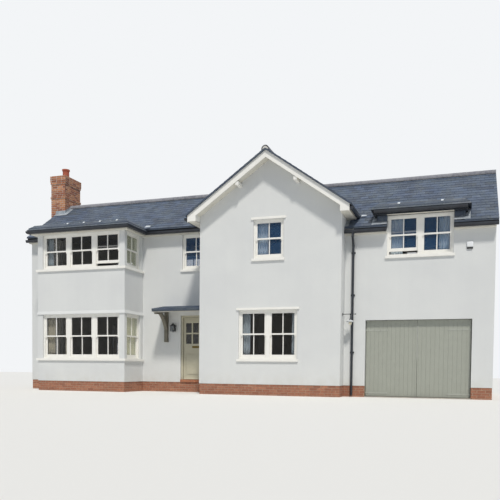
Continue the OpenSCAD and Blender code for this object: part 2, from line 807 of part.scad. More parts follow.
// Bargeboards at both ends of the wing, with the boxed ends of its eaves
module bargeboards() color(paint_c) front_and_back() translate([wing_x, 0, 0])
  along_y(-verge_y, -verge_y + board_t) {
    e = wing_edge;
    z = wing_ridge_z - slate_v - seat;
    v = barge_h / cos(pitch);
    polygon([[0, z], [e, z - slope * e], [e, z - slope * e - v], [0, z - v],
             [-e, z - slope * e - v], [-e, z - slope * e]]);
    for (s = [-1, 1])
      polygon([[s * e, z - slope * e], [s * e, soffit_z], [s * wing_half, soffit_z],
               [s * wing_half, z - slope * wing_half]]);
  }
module purlin_ends() color(paint_c) front_and_back() both_sides(wing_x)
  box(-purlin_x - purlin_s / 2, -purlin_x + purlin_s / 2, -verge_y + board_t, -wing_d,
      verge_soffit_z(purlin_x + purlin_s / 2) - purlin_s, verge_soffit_z(purlin_x + purlin_s / 2));

// Underside of the sloping boards between the bargeboards and the gable wall
function verge_soffit_z(d) = wing_under_z(d) - board_v - seat;

// Fascia and soffit of an eave, in (y, z), for a wall at d
module eave_profile(d, out, z, top_z) {
  translate([-d - out, z]) square([board_t, top_z - z]);
  translate([-d - out, z]) square([out, board_t]);
}

// Fascia and soffit round three sides of a flat roof
module flat_eave(x0, x1, side, d, back) {
  difference() {
    box(x0 - side, x1 + side, -d - eave_out, back, soffit_z, flat_foot_z - seat);
    box(x0 - side + board_t, x1 + side - board_t, -d - eave_out + board_t, 0, ceiling_z, ridge_z);
    box(x0, x1, -d, 0, 0, ridge_z);
  }
}
range_fascia_z = roof_z(range_d + eave_out) - slate_v - seat;
garage_fascia_z = roof_z(garage_d + eave_out) - slate_v - seat;
wing_fascia_z = wing_roof_z(wing_edge) - slate_v - seat;
wing_foot_z = wing_roof_z(wing_edge + slate_out) - slate_v - seat;

// Eaves of the main range beside the bay: the fascia keeps under the slates of the flat roof there
module eave_by_bay() {
  side = eave_out + slate_out;
  both_sides(bay_x) translate([bay_w / 2, -range_d, 0]) {
    box(0, eave_out, -eave_out + board_t, 0, soffit_z, ceiling_z);
    box(eave_out, side, -eave_out, -eave_out + board_t, soffit_z, flat_foot_z - seat);
    box(eave_out, side, -eave_out, 0, soffit_z, ceiling_z);
  }
  flat_eave(bay_l, bay_r, eave_out, bay_d, -range_d - eave_out + board_t);
}

// Eaves of one half of the wing, and the sloping boards under its verge
module wing_eave(back) {
  along_y(-verge_y + board_t, back) eave_profile(wing_half, wing_eave_out, soffit_z, wing_fascia_z);
  along_y(-verge_y + board_t, -wing_d)
    polygon([[0, wing_under_z(0)], [-wing_half, wing_under_z(wing_half)],
             [-wing_half, wing_under_z(wing_half) - board_v], [0, wing_under_z(0) - board_v]]);
}
module eaves_boards() color(cream_c) {
  by_bay = eave_out + slate_out;
  by_wing = wing_x - wing_edge - slate_out;
  along_x(-end_x, bay_l - by_bay) eave_profile(range_d, eave_out, soffit_z, range_fascia_z);
  eave_by_bay();
  along_x(bay_r + by_bay, by_wing) eave_profile(range_d, eave_out, soffit_z, range_fascia_z);
  mirror([0, 1, 0])
    along_x(-end_x, by_wing) eave_profile(range_d, eave_out, soffit_z, range_fascia_z);
  front_and_back() {
    translate([wing_x - wing_edge, 0, 0]) {
      box(-slate_out, wing_eave_out, -range_d - eave_out, -range_d, soffit_z, ceiling_z);
      box(-slate_out, 0, -range_d - eave_out, -range_d - eave_out + board_t, soffit_z, wing_foot_z);
      box(0, board_t, -range_d - eave_out, -range_d - eave_out + board_t, soffit_z, wing_fascia_z);
    }
    translate([wing_x, 0, 0]) wing_eave(-range_d - eave_out);
    difference() {
      translate([wing_x, 0, 0]) mirror([1, 0, 0]) wing_eave(-range_d - eave_out);
      under_range(-seat);
    }
    along_x(wing_r, dormer_x - pair_w / 2)
      eave_profile(garage_d, eave_out, garage_soffit_z, garage_fascia_z);
    along_x(dormer_x + pair_w / 2, end_x)
      eave_profile(garage_d, eave_out, garage_soffit_z, garage_fascia_z);
    difference() {
      flat_eave(dormer_l, dormer_r, cheek_out, garage_d, -flat_in);
      under_range(-seat);
    }
  }
}

// Gutters with a round bottom and straight lips. The path keeps the wall on its left and lies on the fascia;
// its corners are mitred and its ends are stopped.
function turn(path, i) =
  i == 0 || i == len(path) - 1 ? 0 : sign(cross(path[i] - path[i - 1], path[i + 1] - path[i]));
module gutter_outline(r) {
  circle(r);
  translate([-r, 0]) square([2 * r, gutter_lip + over]);
}
module gutter_leg(run, a, b) {
  w = 2 * gutter_r;
  difference() {
    intersection() {
      along_x(-w, run + w) translate([-gutter_r, 0]) gutter_outline(gutter_r);
      translate([0, 0, -gutter_r]) linear_extrude(gutter_r + gutter_lip)
        polygon([[0, 0], [-a * w, -w], [run + b * w, -w], [run, 0]]);
    }
    along_x(a == 0 ? gutter_t : -w, b == 0 ? run - gutter_t : run + w)
      translate([-gutter_r, 0]) gutter_outline(gutter_r - gutter_t);
  }
}
module gutter(path, z) {
  for (i = [0:len(path) - 2]) {
    step = path[i + 1] - path[i];
    translate([path[i][0], path[i][1], z + gutter_up + gutter_r]) rotate([0, 0, atan2(step[1], step[0])])
      gutter_leg(norm(step), turn(path, i), turn(path, i + 1));
  }
}
module gutters() color(black_c) {
  y = -range_d - eave_out;
  bay_y = -bay_d - eave_out;
  wing_end = [wing_x - wing_edge, -verge_y + board_t];
  verge = end_x + verge_out;
  gutter([[-verge, y], [bay_l - eave_out, y], [bay_l - eave_out, bay_y], [bay_r + eave_out, bay_y],
          [bay_r + eave_out, y], [wing_end[0], y], wing_end], soffit_z);
  gutter_outlet(bay_pipe_x, range_d, soffit_z);
  mirror([0, 1, 0]) {
    gutter([[-verge, y], [wing_end[0], y], wing_end], soffit_z);
    gutter_outlet(rear_pipe_x, range_d, soffit_z);
  }
  front_and_back() {
    y2 = -garage_d - eave_out;
    gutter([[wing_r, y2], [dormer_x - pair_w / 2, y2]], garage_soffit_z);
    gutter([[dormer_x + pair_w / 2, y2], [verge, y2]], garage_soffit_z);
    gutter([[dormer_l - cheek_out, y2], [dormer_r + cheek_out, y2]], soffit_z);
    gutter_outlet(wing_pipe_x, garage_d, garage_soffit_z);
    difference() {
      gutter([[wing_x + wing_edge, wing_end[1]], [wing_x + wing_edge, y]], soffit_z);
      under_range(-seat);
    }
  }
}

// Outlet under a gutter. Its top ends inside the metal of the gutter.
module gutter_outlet(x, d, z) {
  r = pipe_r + knee;
  translate([x, -d - eave_out - gutter_r, z + gutter_up + gutter_r]) difference() {
    translate([0, 0, -gutter_r - outlet_h]) cylinder(r = r, h = outlet_h + gutter_r / 2);
    along_x(-r - over, r + over) gutter_outline(gutter_r - gutter_t / 2);
  }
}

// Downpipe with a swan neck from the outlet back to the wall
wing_pipe_x = wing_r + 2 * pipe_r + wing_pipe_gap;
bay_pipe_x = bay_l - eave_out - 2 * gutter_r - pipe_r - knee;
rear_pipe_x = wing_x - wing_edge - 2 * gutter_r - 2 * pipe_r;
module downpipe(x, d, z) {
  wall_y = -d - pipe_gap - pipe_r;
  gut_y = -d - eave_out - gutter_r;
  top = z + gutter_up - outlet_h;
  knee_z = top - pipe_stub;
  run = wall_y - gut_y;
  translate([x, gut_y, knee_z]) cylinder(r = pipe_r, h = pipe_stub);
  translate([x, gut_y, knee_z]) rotate([180 + atan(run / pipe_neck), 0, 0])
    cylinder(r = pipe_r, h = norm([run, pipe_neck]));
  translate([x, gut_y, knee_z]) sphere(pipe_r + knee);
  translate([x, wall_y, knee_z - pipe_neck]) sphere(pipe_r + knee);
  translate([x, wall_y, pipe_foot]) cylinder(r = pipe_r, h = knee_z - pipe_neck - pipe_foot);
  for (h = clip_z)
    box(x - pipe_r - clip_h / 2, x + pipe_r + clip_h / 2, -d - pipe_gap, -d, h, h + clip_h);
}
module downpipes() color(black_c) {
  downpipe(bay_pipe_x, range_d, soffit_z);
  mirror([0, 1, 0]) downpipe(rear_pipe_x, range_d, soffit_z);
  front_and_back() downpipe(wing_pipe_x, garage_d, garage_soffit_z);
}

// Windows, their glass, sills and mouldings
module bay_windows() color(paint_c) {
  frames(bay_places);
  bay_sides() frames(bay_side_places);
}
module front_windows() color(paint_c) frames(front_places);
module dormer_windows() color(paint_c) front_and_back() frames([dormer_place]);
module rear_windows() color(paint_c) mirror([0, 1, 0]) frames(rear_places);
module window_glass() color("#9fb6c4", 0.5) {
  panes(bay_places);
  bay_sides() panes(bay_side_places);
  panes(front_places);
  front_and_back() panes([dormer_place]);
  mirror([0, 1, 0]) panes(rear_places);
}
module sill_board(p) {
  box(p[0] - p[4] / 2, p[0] + p[4] / 2, -p[1], -p[1] + frame_in + frame_d, p[2] - sill_h, p[2]);
}
module sill(p) {
  end = p[4] / 2 + sill_end;
  sill_board(p);
  box(p[0] - end, p[0] + end, -p[1] - sill_out, -p[1], p[2] - sill_h, p[2]);
}
module window_sills() color(paint_c) {
  for (p = front_places) sill(p);
  front_and_back() sill(dormer_place);
  mirror([0, 1, 0]) for (p = rear_places) sill(p);
}
module bay_sills() color(paint_c) {
  for (p = bay_places) {
    sill_board(p);
    difference() {
      box(bay_l - sill_out, bay_r + sill_out, -bay_d - sill_out, -range_d, p[2] - sill_h, p[2]);
      box(bay_l, bay_r, -bay_d, 0, 0, ridge_z);
    }
  }
  bay_sides() for (p = bay_side_places) sill_board(p);
}
module head_mouldings() color(paint_c) front_and_back() for (p = gable_places) {
  end = p[4] / 2 + head_end;
  box(p[0] - end, p[0] + end, -p[1] - head_out, -p[1], p[3], p[3] + head_h);
}

// Curtains that hang close behind the frames, at the sides of the windows
module curtain_pairs(places) {
  for (p = places) both_sides(p[0])
    box(jamb - p[4] / 2, jamb - p[4] / 2 + curtain_w, -p[1] + frame_in + frame_d,
        -p[1] + frame_in + frame_d + curtain_t, p[2], p[3] - jamb);
}
module curtains() color("#d8dde0") {
  curtain_pairs(gable_places);
  curtain_pairs([dormer_place]);
}

// Front door: frame, leaf with two rows of three panes over a lock rail and a raised panel
module door_frame() color(door_c) difference() {
  box(door_x - door_open_w / 2, door_x + door_open_w / 2, -range_d + frame_in, door_face_y + door_t,
      floor0_z, door_open_z);
  box(door_x - door_w / 2 - door_gap, door_x + door_w / 2 + door_gap, -range_d, -inner_d,
      0, door_open_z - door_jamb);
}
door_pane_w = (door_w - 2 * door_stile - 2 * door_bar) / 3;
door_pane_h = (door_glazed_h - door_bar) / 2;
module door_panes(y0, y1) {
  z = door_foot_z + door_h - door_top_rail - door_glazed_h;
  for (i = [0:2], j = [0:1])
    translate([door_x - door_w / 2 + door_stile + i * (door_pane_w + door_bar), door_face_y + y0,
               z + j * (door_pane_h + door_bar)])
      cube([door_pane_w, y1 - y0, door_pane_h]);
}
module door_panel(inset, y0, y1) {
  w = door_w / 2 - door_stile - inset;
  z = door_foot_z + door_bottom_rail;
  box(door_x - w, door_x + w, door_face_y + y0, door_face_y + y1, z + inset, z + door_panel_h - inset);
}
module door_leaf() color(door_c) {
  l = door_x - door_w / 2;
  difference() {
    box(l, l + door_w, door_face_y, door_face_y + door_t, door_foot_z, door_foot_z + door_h);
    door_panes(-over, door_t + over);
    door_panel(0, -over, panel_sink);
  }
  door_panel(panel_field, 0, panel_sink);
  along_x(l + drip_in, l + door_w - drip_in)
    polygon([[door_face_y, door_foot_z], [door_face_y, door_foot_z + drip_h],
             [door_face_y - drip_out, door_foot_z + drip_h / 3], [door_face_y - drip_out, door_foot_z]]);
  for (z = hinge_z) translate([l + knuckle_in, door_face_y + door_t + knuckle_out, door_foot_z + z]) {
    cylinder(r = knuckle_r, h = hinge_h);
    translate([0, -knuckle_out, 0]) cube([hinge_h / 2, knuckle_out / 2, hinge_h]);
    translate([0, -knuckle_out, 0]) cube([knuckle_r / 2, knuckle_out, hinge_h]);
  }
}
module door_glass() color("#3a4044", 0.6) door_panes((door_t - glass_t) / 2, (door_t + glass_t) / 2);
module door_furniture() color("#b08a3c") {
  knob_x = door_x + (door_w - door_stile) / 2;
  difference() {
    box(door_x - letter_w / 2, door_x + letter_w / 2, door_face_y - plate_t, door_face_y,
        letter_z, letter_z + letter_h);
    box(door_x - letter_w / 2 + plate_t * 3, door_x + letter_w / 2 - plate_t * 3, door_face_y - over * 2,
        door_face_y - plate_t / 2, letter_z + plate_t * 2, letter_z + letter_h - plate_t * 2);
  }
  translate([knob_x, door_face_y, letter_z - letter_h]) rotate([90, 0, 0]) rotate_extrude()
    polygon([[0, 0], [knob_r, 0], [knob_r, plate_t], [knob_r / 2, plate_t], [knob_r / 2, knob_out / 2],
             [knob_r, knob_out * 0.7], [knob_r * 0.8, knob_out], [0, knob_out]]);
}
module brick_step() color(brick_c)
  box(door_x - door_open_w / 2, door_x + door_open_w / 2, -range_d - step_out, -inner_d, plinth_h, floor0_z);

// Porch: slates on boards, carried by a bracket of post, arm and curved brace
porch_l = door_x - porch_left;
porch_front = range_d + porch_out;
porch_rise = tan(porch_pitch);
function porch_under(d) = porch_z - porch_t + porch_rise * (porch_front - d);
module porch_strip(d0, d1, top, low) {
  polygon([[-d0, porch_under(d0) - top], [-d1, porch_under(d1) - top],
           [-d1, porch_under(d1) - low], [-d0, porch_under(d0) - low]]);
}
module porch_roof() color(slate_c) along_x(porch_l, wing_l) porch_strip(range_d, porch_front, -porch_t, 0);
module porch_boards() color(cream_c) {
  beam = porch_front - slate_out;
  l = porch_l + porch_verge;
  along_x(l, wing_l) {
    porch_strip(range_d, beam, seat, seat + porch_soffit_t);
    porch_strip(beam - board_t, beam, seat, porch_beam_h);
  }
  along_x(l, l + board_t) porch_strip(range_d, beam, seat, porch_beam_h);
}
module porch_bracket() color("#5a5750") {
  x = porch_l + porch_verge + 1.5 * board_t;
  face = range_d + bracket_s;
  arm_end = porch_front - slate_out - 2 * board_t;
  top = 2 * seat + porch_soffit_t;
  foot = [face, brace_z];
  head = [range_d + brace_out, porch_under(range_d + brace_out) - top - bracket_s];
  mid = (foot + head) / 2;
  chord = head - foot;
  reach = sqrt(brace_r * brace_r - chord * chord / 4);
  centre = mid + [chord[1], -chord[0]] / norm(chord) * reach;
  along_x(x, x + bracket_s) {
    translate([-face, post_z]) square([bracket_s, porch_under(face) - top - post_z]);
    porch_strip(range_d, arm_end, top, top + bracket_s);
    intersection() {
      difference() {
        translate([-centre[0], centre[1]]) circle(brace_r + brace_t / 2);
        translate([-centre[0], centre[1]]) circle(brace_r - brace_t / 2);
      }
      translate([-arm_end, post_z])
        square([arm_end - face + bracket_s / 2, head[1] + bracket_s / 2 - post_z]);
    }
  }
}

// Garage doors, side hung and opening outwards
module garage_frame() color(garage_c) difference() {
  box(garage_l, garage_r, leaf_y + leaf_t + strap_t, leaf_y + leaf_t + strap_t + garage_post_d,
      garage_floor_t, garage_h);
  box(garage_l + garage_post, garage_r - garage_post, -garage_d, garage_d, 0, garage_h - garage_post);
}
module garage_leaf() {
  l = garage_l + leaf_gap;
  difference() {
    translate([l, leaf_y, leaf_z]) cube([leaf_w, leaf_t, leaf_h]);
    for (z = strap_z) translate([l - over, leaf_y - over, z - seat])
      cube([over + 2 * strap_t + 1, over + strap_t + 1, strap_h + 2 * seat]);
  }
  for (z = [strap_z[0], (strap_z[0] + strap_z[1]) / 2, strap_z[1]])
    translate([l + garage_post + leaf_gap, leaf_y + leaf_t, z + (strap_h - ledge_h) / 2])
      cube([leaf_w - garage_post - 2 * leaf_gap, board_t, ledge_h]);
}
module garage_straps() {
  for (z = strap_z) translate([garage_l + leaf_gap, leaf_y - strap_t, z]) {
    cube([strap_l - strap_h / 2, strap_t, strap_h]);
    translate([strap_l - strap_h / 2, strap_t, strap_h / 2]) rotate([90, 0, 0])
      cylinder(d = strap_h, h = strap_t);
    cylinder(r = 2 * strap_t, h = strap_h);
  }
}
module right_hand() {
  translate([2 * garage_x, 0, 0]) mirror([1, 0, 0]) children();
}
module garage_door_left() color(garage_c) garage_leaf();
module garage_door_right() color(garage_c) right_hand() garage_leaf();
module garage_straps_left() color(garage_c) garage_straps();
module garage_straps_right() color(garage_c) right_hand() garage_straps();

// Chimney: rendered breast, brick stack with corbelled courses, mortar flaunching round the pot
stack_x0 = -end_x - stack_out;
stack_x1 = stack_x0 + stack_w;
stack_y0 = stack_y - stack_d / 2;
stack_y1 = stack_y + stack_d / 2;
stack_x = (stack_x0 + stack_x1) / 2;
cap_top = cap_z + cap_courses * course;
module stack_shaft() {
  box(stack_x0, stack_x1, stack_y0, stack_y1, breast_z, cap_z);
}
module chimney_breast() color(render_c) box(stack_x0, -end_x, stack_y0, stack_y1, plinth_h, breast_z);
module stack_course(z, out) {
  box(stack_x0 - out, stack_x1 + out, stack_y0 - out, stack_y1 + out, z, z + course);
}
module flaunching(half) {
  polygon([[-half, 0], [half, 0], [pot_r + corbel, flaunch_h], [-pot_r - corbel, flaunch_h]]);
}
module chimney_stack() color(brick_c) difference() {
  union() {
    stack_shaft();
    stack_course(string_z, corbel);
    for (i = [0:cap_courses - 1]) stack_course(cap_z + i * course, corbel * min(i + 1, cap_courses - 1));
    translate([stack_x, stack_y, cap_top]) intersection() {
      along_x(-stack_w, stack_w) flaunching(stack_d / 2);
      along_y(-stack_d, stack_d) flaunching(stack_w / 2);
    }
  }
  translate([stack_x, stack_y, cap_top]) {
    cylinder(r = pot_r + seat, h = pot_h);
    box(-flue_w / 2, flue_w / 2, -flue_w / 2, flue_w / 2, ridge_z - cap_top, pot_h);
  }
}
module chimney_pot() color("#b4472a") translate([stack_x, stack_y, cap_top]) rotate_extrude() {
  bore = pot_r - 2 * pot_t;
  polygon([[bore, 0], [pot_r, 0], [pot_r, flaunch_h], [pot_r - pot_t, flaunch_h + pot_t],
           [pot_r - pot_t, pot_h - 3 * pot_t], [pot_r, pot_h - 2 * pot_t], [pot_r, pot_h], [bore, pot_h]]);
}

// Lead round the stack: an apron and side strips on the slates, upstands stepped with the brick courses
module lead_sheet(x0, x1, d0, d1) {
  along_x(x0, x1)
    polygon([[-d0, roof_z(d0) + seat], [-d1, roof_z(d1) + seat],
             [-d1, roof_z(d1) + lead_t], [-d0, roof_z(d0) + lead_t]]);
}
module lead_half(d) {
  l = -end_x - verge_out;
  free = ridge_r + lead_t;
  tread = course / slope;
  steps = floor((d - free) / tread);
  lead_sheet(l, stack_x1 + lead_w, d, d + lead_w);
  lead_sheet(stack_x1, stack_x1 + lead_w, free, d);
  box(l, stack_x1 + lead_t, -d - lead_t, -d, roof_z(d) + 2 * seat, roof_z(d) + lead_up);
  foot = [[-d, roof_z(d) + seat], [-d + steps * tread, roof_z(d - steps * tread) + seat]];
  stairs = [for (i = [steps - 1:-1:0], k = [1, 0]) [-d + (i + k) * tread, roof_z(d) + lead_up + i * course]];
  along_x(stack_x1, stack_x1 + lead_t) polygon(concat(foot, stairs));
}
module lead_flashings() color("#8f979f") {
  lead_half(-stack_y0);
  mirror([0, 1, 0]) lead_half(stack_y1);
}

// Wall lantern: tray, four corner bars, crossed bars in each face, stepped cap
module lantern() color(black_c) {
  x = door_x + lantern_x;
  y = -range_d - lantern_gap - lantern_w / 2;
  box_h = lantern_h * 0.55;
  foot = lantern_h * 0.12;
  bar_w = lantern_w * 0.08;
  half = lantern_w * 0.42;
  inner = half - bar_w;
  lean = atan((box_h - 2 * bar_w) / (2 * inner));
  reach = norm([inner, box_h / 2]);
  translate([x, y, lantern_z]) {
    cylinder(r = bar_w, h = foot);
    translate([0, 0, foot]) difference() {
      box(-half, half, -half, half, 0, box_h);
      box(-inner, inner, -lantern_w, lantern_w, bar_w, box_h - bar_w);
      box(-lantern_w, lantern_w, -inner, inner, bar_w, box_h - bar_w);
    }
    translate([0, 0, foot + box_h / 2]) for (a = [0, 90, 180, 270], s = [-1, 1])
      rotate([0, 0, a]) translate([0, -half + bar_w / 2, 0]) rotate([0, s * lean, 0])
        box(-reach, reach, -bar_w / 4, bar_w / 4, -bar_w / 4, bar_w / 4);
    translate([-lantern_w / 2, -lantern_w / 2, foot + box_h]) cube([lantern_w, lantern_w, bar_w]);
    translate([0, 0, foot + box_h + bar_w]) rotate([0, 0, 45])
      cylinder(r1 = half * sqrt(2), r2 = bar_w * 2, h = lantern_h * 0.2, $fn = 4);
    cylinder(r = bar_w, h = lantern_h);
  }
  top = lantern_z + foot + box_h;
  box(x - lantern_gap, x + lantern_gap, -range_d - bar_w, -range_d, top - box_h, top);
  box(x - bar_w, x + bar_w, y + inner, -range_d, top - bar_w, top);
}

// Lamp on the side of the wing: plate, arm with a ball, stem, dome and globe
module swan_neck_lamp() color(black_c) translate([wing_r, -(wing_d + garage_d) / 2, lamp_z]) {
  rotate([0, 90, 0]) cylinder(r = plate_r, h = plate_r / 3);
  rotate([0, 90, 0]) cylinder(r = arm_r, h = lamp_reach);
  translate([lamp_reach, 0, 0]) sphere(1.8 * arm_r);
  translate([lamp_out, 0, -lamp_drop]) {
    cylinder(r = arm_r, h = lamp_drop);
    rotate_extrude() polygon([[0, 0], [2 * arm_r, 0], [shade_r * 0.75, -shade_h * 0.35], [shade_r, -shade_h],
                              [shade_r * 0.9, -shade_h], [globe_r, -shade_h * 0.7], [0, -shade_h * 0.7]]);
    rotate_extrude() polygon([[0, -shade_h * 0.5], [globe_r * 0.8, -shade_h * 0.7], [globe_r, -shade_h],
                              [globe_r, -shade_h - globe_h * 0.6], [globe_r * 0.6, -shade_h - globe_h],
                              [0, -shade_h - globe_h]]);
  }
}
module alarm_box() color("#e8e8e6") {
  x = end_x - alarm_in;
  box(x - alarm_w / 2, x + alarm_w / 2, -garage_d - alarm_t, -garage_d, alarm_z, alarm_z + alarm_w);
  box(x - alarm_w / 2 + over, x + alarm_w / 2 - over, -garage_d - alarm_t + over, -garage_d,
      alarm_z - 2 * over, alarm_z);
}

plinth_along_front();
plinth_along_back();
plinth_across();
ground_floor();
garage_floor();
first_floor();
range_wall_left();
entrance_walls();
entrance_wall_over();
bay_front_wall();
bay_side_walls();
wing_front_wall();
wing_rear_wall();
wing_side_walls();
garage_piers();
garage_wall_over();
rear_walls();
end_walls();
front_roof();
rear_roof();
wing_roof_left();
wing_roof_right();
bay_roof();
dormer_roofs();
dormer_cheeks();
ridge_tiles();
bargeboards();
purlin_ends();
eaves_boards();
gutters();
downpipes();
bay_windows();
front_windows();
dormer_windows();
rear_windows();
window_sills();
bay_sills();
head_mouldings();
window_glass();
curtains();
door_frame();
door_leaf();
door_glass();
door_furniture();
brick_step();
porch_roof();
porch_boards();
porch_bracket();
garage_frame();
garage_door_left();
garage_door_right();
garage_straps_left();
garage_straps_right();
chimney_breast();
chimney_stack();
chimney_pot();
lead_flashings();
lantern();
swan_neck_lamp();
alarm_box();
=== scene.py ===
# Detached house: rendered walls, slated roofs, a bay, a gabled wing, a porch and a garage.
# Metres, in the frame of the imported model: the front faces -Y and the ground is at zero.
import math
import random
import bmesh
import bpy
import numpy as np
from mathutils import Matrix, Vector


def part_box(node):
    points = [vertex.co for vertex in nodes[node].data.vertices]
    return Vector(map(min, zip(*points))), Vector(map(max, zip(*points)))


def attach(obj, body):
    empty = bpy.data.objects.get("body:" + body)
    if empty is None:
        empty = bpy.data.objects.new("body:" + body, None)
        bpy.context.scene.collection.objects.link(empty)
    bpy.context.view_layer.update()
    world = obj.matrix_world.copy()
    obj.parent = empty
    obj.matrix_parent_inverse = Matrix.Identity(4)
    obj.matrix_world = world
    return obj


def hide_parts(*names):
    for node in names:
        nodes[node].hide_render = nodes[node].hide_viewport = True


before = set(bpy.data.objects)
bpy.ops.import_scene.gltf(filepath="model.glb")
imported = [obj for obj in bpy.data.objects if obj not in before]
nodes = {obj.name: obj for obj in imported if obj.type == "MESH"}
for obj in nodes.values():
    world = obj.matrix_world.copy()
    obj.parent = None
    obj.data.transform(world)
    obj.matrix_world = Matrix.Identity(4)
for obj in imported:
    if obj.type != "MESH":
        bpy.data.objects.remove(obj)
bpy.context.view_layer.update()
scene = bpy.context.scene
scene.view_settings.view_transform = "Standard"
print("frame loaded:", len(nodes), "nodes")


def linearColour(text):
    parts = [int(text[i:i + 2], 16) / 255 for i in (1, 3, 5)]
    return [c / 12.92 if c <= 0.04045 else ((c + 0.055) / 1.055) ** 2.4 for c in parts] + [1.0]


def addNode(tree, kind, feeds=None, **settings):
    node = tree.nodes.new(kind)
    for name, value in settings.items():
        setattr(node, name, value)
    for key, value in (feeds or {}).items():
        if isinstance(value, bpy.types.NodeSocket):
            tree.links.new(value, node.inputs[key])
        else:
            node.inputs[key].default_value = value
    return node


# Camera at eye level, turned to the left and shifted up as the photograph's frame is
cameraView = {
    "place": (7.240, -21.685, 0.794),
    "lens": 45.41,
    "shiftUp": 0.2865,
    "yaw": 18.728,  # degrees, as are pitch and roll
    "pitch": -2.18,
    "roll": 0.573,
}


def setCamera():
    data = bpy.data.cameras.new("camera")
    data.sensor_width, data.clip_end = 36, 500
    data.lens, data.shift_y = cameraView["lens"], cameraView["shiftUp"]
    camera = bpy.data.objects.new("camera", data)
    scene.collection.objects.link(camera)
    turned = Matrix.Translation(cameraView["place"])
    for angle, axis in ((cameraView["yaw"], "Z"), (90 + cameraView["pitch"], "X"), (cameraView["roll"], "Z")):
        turned = turned @ Matrix.Rotation(math.radians(angle), 4, axis)
    camera.matrix_world = turned
    scene.camera = camera


# Hazy sun from the front right, over a pale floor and before a pale backdrop
light = {
    "sunFrom": (0.45, -0.94, 1.54),
    "sunStrength": 2.6,
    "sunWidth": 7,  # degrees
    "sunColour": "#fffaf2",
    "fillColour": "#dbe6f6",
    "fillStrength": 0.45,
    "backdrop": "#f3f5f7",
    "floorColour": "#e6e5e1",
    "floorReach": 60,
}


def setLight():
    data = bpy.data.lights.new("sun", "SUN")
    data.energy, data.angle = light["sunStrength"], math.radians(light["sunWidth"])
    data.color = linearColour(light["sunColour"])[:3]
    sun = bpy.data.objects.new("sun", data)
    sun.rotation_mode = "QUATERNION"
    sun.rotation_quaternion = (-Vector(light["sunFrom"])).to_track_quat("-Z", "Y")
    scene.collection.objects.link(sun)
    scene.world = bpy.data.worlds.new("daylight")
    scene.world.use_nodes = True
    tree = scene.world.node_tree
    tree.nodes.clear()
    rays = addNode(tree, "ShaderNodeLightPath").outputs
    shown = rays["Is Camera Ray"]
    for name in ("Is Glossy Ray", "Is Transmission Ray"):
        feeds = {0: shown, 1: rays[name]}
        shown = addNode(tree, "ShaderNodeMath", feeds, operation="ADD", use_clamp=True).outputs[0]
    feeds = {0: shown}
    for slot, colour, strength in ((1, "fillColour", light["fillStrength"]), (2, "backdrop", 1.0)):
        shade = {"Color": linearColour(light[colour]), "Strength": strength}
        feeds[slot] = addNode(tree, "ShaderNodeBackground", shade).outputs[0]
    both = addNode(tree, "ShaderNodeMixShader", feeds)
    addNode(tree, "ShaderNodeOutputWorld", {"Surface": both.outputs[0]})


def layFloor():
    reach = light["floorReach"]
    mesh = bpy.data.meshes.new("studioFloor")
    corners = [(x * reach, y * reach, 0) for x, y in ((-1, -1), (1, -1), (1, 1), (-1, 1))]
    mesh.from_pydata(corners, [], [(0, 1, 2, 3)])
    mesh.materials.append(newFinish("pale studio floor", light["floorColour"], 0.9))
    floor = bpy.data.objects.new("studio_floor", mesh)
    scene.collection.objects.link(floor)


# Patterns are in metres on Object coordinates, which are the house's own here, and are given as
# size, low, high, scale upwards, sharpness, detail
def patches(tree, place, size, low=0.0, high=1.0, tall=1.0, sharp=0.3, detail=4):
    spread = addNode(tree, "ShaderNodeMapping", {"Vector": place, "Scale": (1, 1, tall)}).outputs[0]
    cloud = addNode(tree, "ShaderNodeTexNoise", {"Vector": spread, "Scale": 1 / size, "Detail": detail})
    feeds = {0: cloud.outputs[0], 1: 0.5 - sharp / 2, 2: 0.5 + sharp / 2, 3: low, 4: high}
    return addNode(tree, "ShaderNodeMapRange", feeds).outputs[0]


# A finish: one colour, or shades given out by each laid piece's tone; coats over it, each with its colour and
# patterns; a relief with its depth, strength and patterns; and sockets that vary by a pattern of their own
def newFinish(name, shades, roughness, coats=(), relief=(), varied=None, **sockets):
    material = bpy.data.materials.new(name)
    material.use_nodes = True
    tree = material.node_tree
    shader = tree.nodes["Principled BSDF"]
    place = addNode(tree, "ShaderNodeTexCoord").outputs["Object"]

    def combined(patterns, operation):
        whole, *others = [patches(tree, place, *pattern) for pattern in patterns]
        for other in others:
            whole = addNode(tree, "ShaderNodeMath", {0: whole, 1: other}, operation=operation).outputs[0]
        return whole

    for socket, value in sockets.items():
        shader.inputs[socket.replace("_", " ")].default_value = value
    shader.inputs["Roughness"].default_value = roughness
    colour = linearColour(shades if isinstance(shades, str) else shades[0])
    shader.inputs["Base Color"].default_value = colour
    if not isinstance(shades, str):
        tone = addNode(tree, "ShaderNodeAttribute", attribute_name="tone").outputs["Fac"]
        ramp = addNode(tree, "ShaderNodeValToRGB", {0: tone})
        stops, colour = ramp.color_ramp.elements, ramp.outputs[0]
        for shade in shades[2:]:
            stops.new(0.5)
        for i, shade in enumerate(shades):
            stops[i].position = i / (len(shades) - 1)
            stops[i].color = linearColour(shade)
    for over, *patterns in coats:
        feeds = {0: combined(patterns, "MULTIPLY"), 6: colour, 7: linearColour(over)}
        colour = addNode(tree, "ShaderNodeMix", feeds, data_type="RGBA").outputs[2]
    if isinstance(colour, bpy.types.NodeSocket):
        tree.links.new(colour, shader.inputs["Base Color"])
    if relief:
        feeds = {"Height": combined(relief[2:], "ADD"), "Distance": relief[0], "Strength": relief[1]}
        tree.links.new(addNode(tree, "ShaderNodeBump", feeds).outputs[0], shader.inputs["Normal"])
    for socket, pattern in (varied or {}).items():
        tree.links.new(patches(tree, place, *pattern), shader.inputs[socket])
    return material


dampFoot = (0.30, 0.75)  # heights between which the weathering of the walls fades out


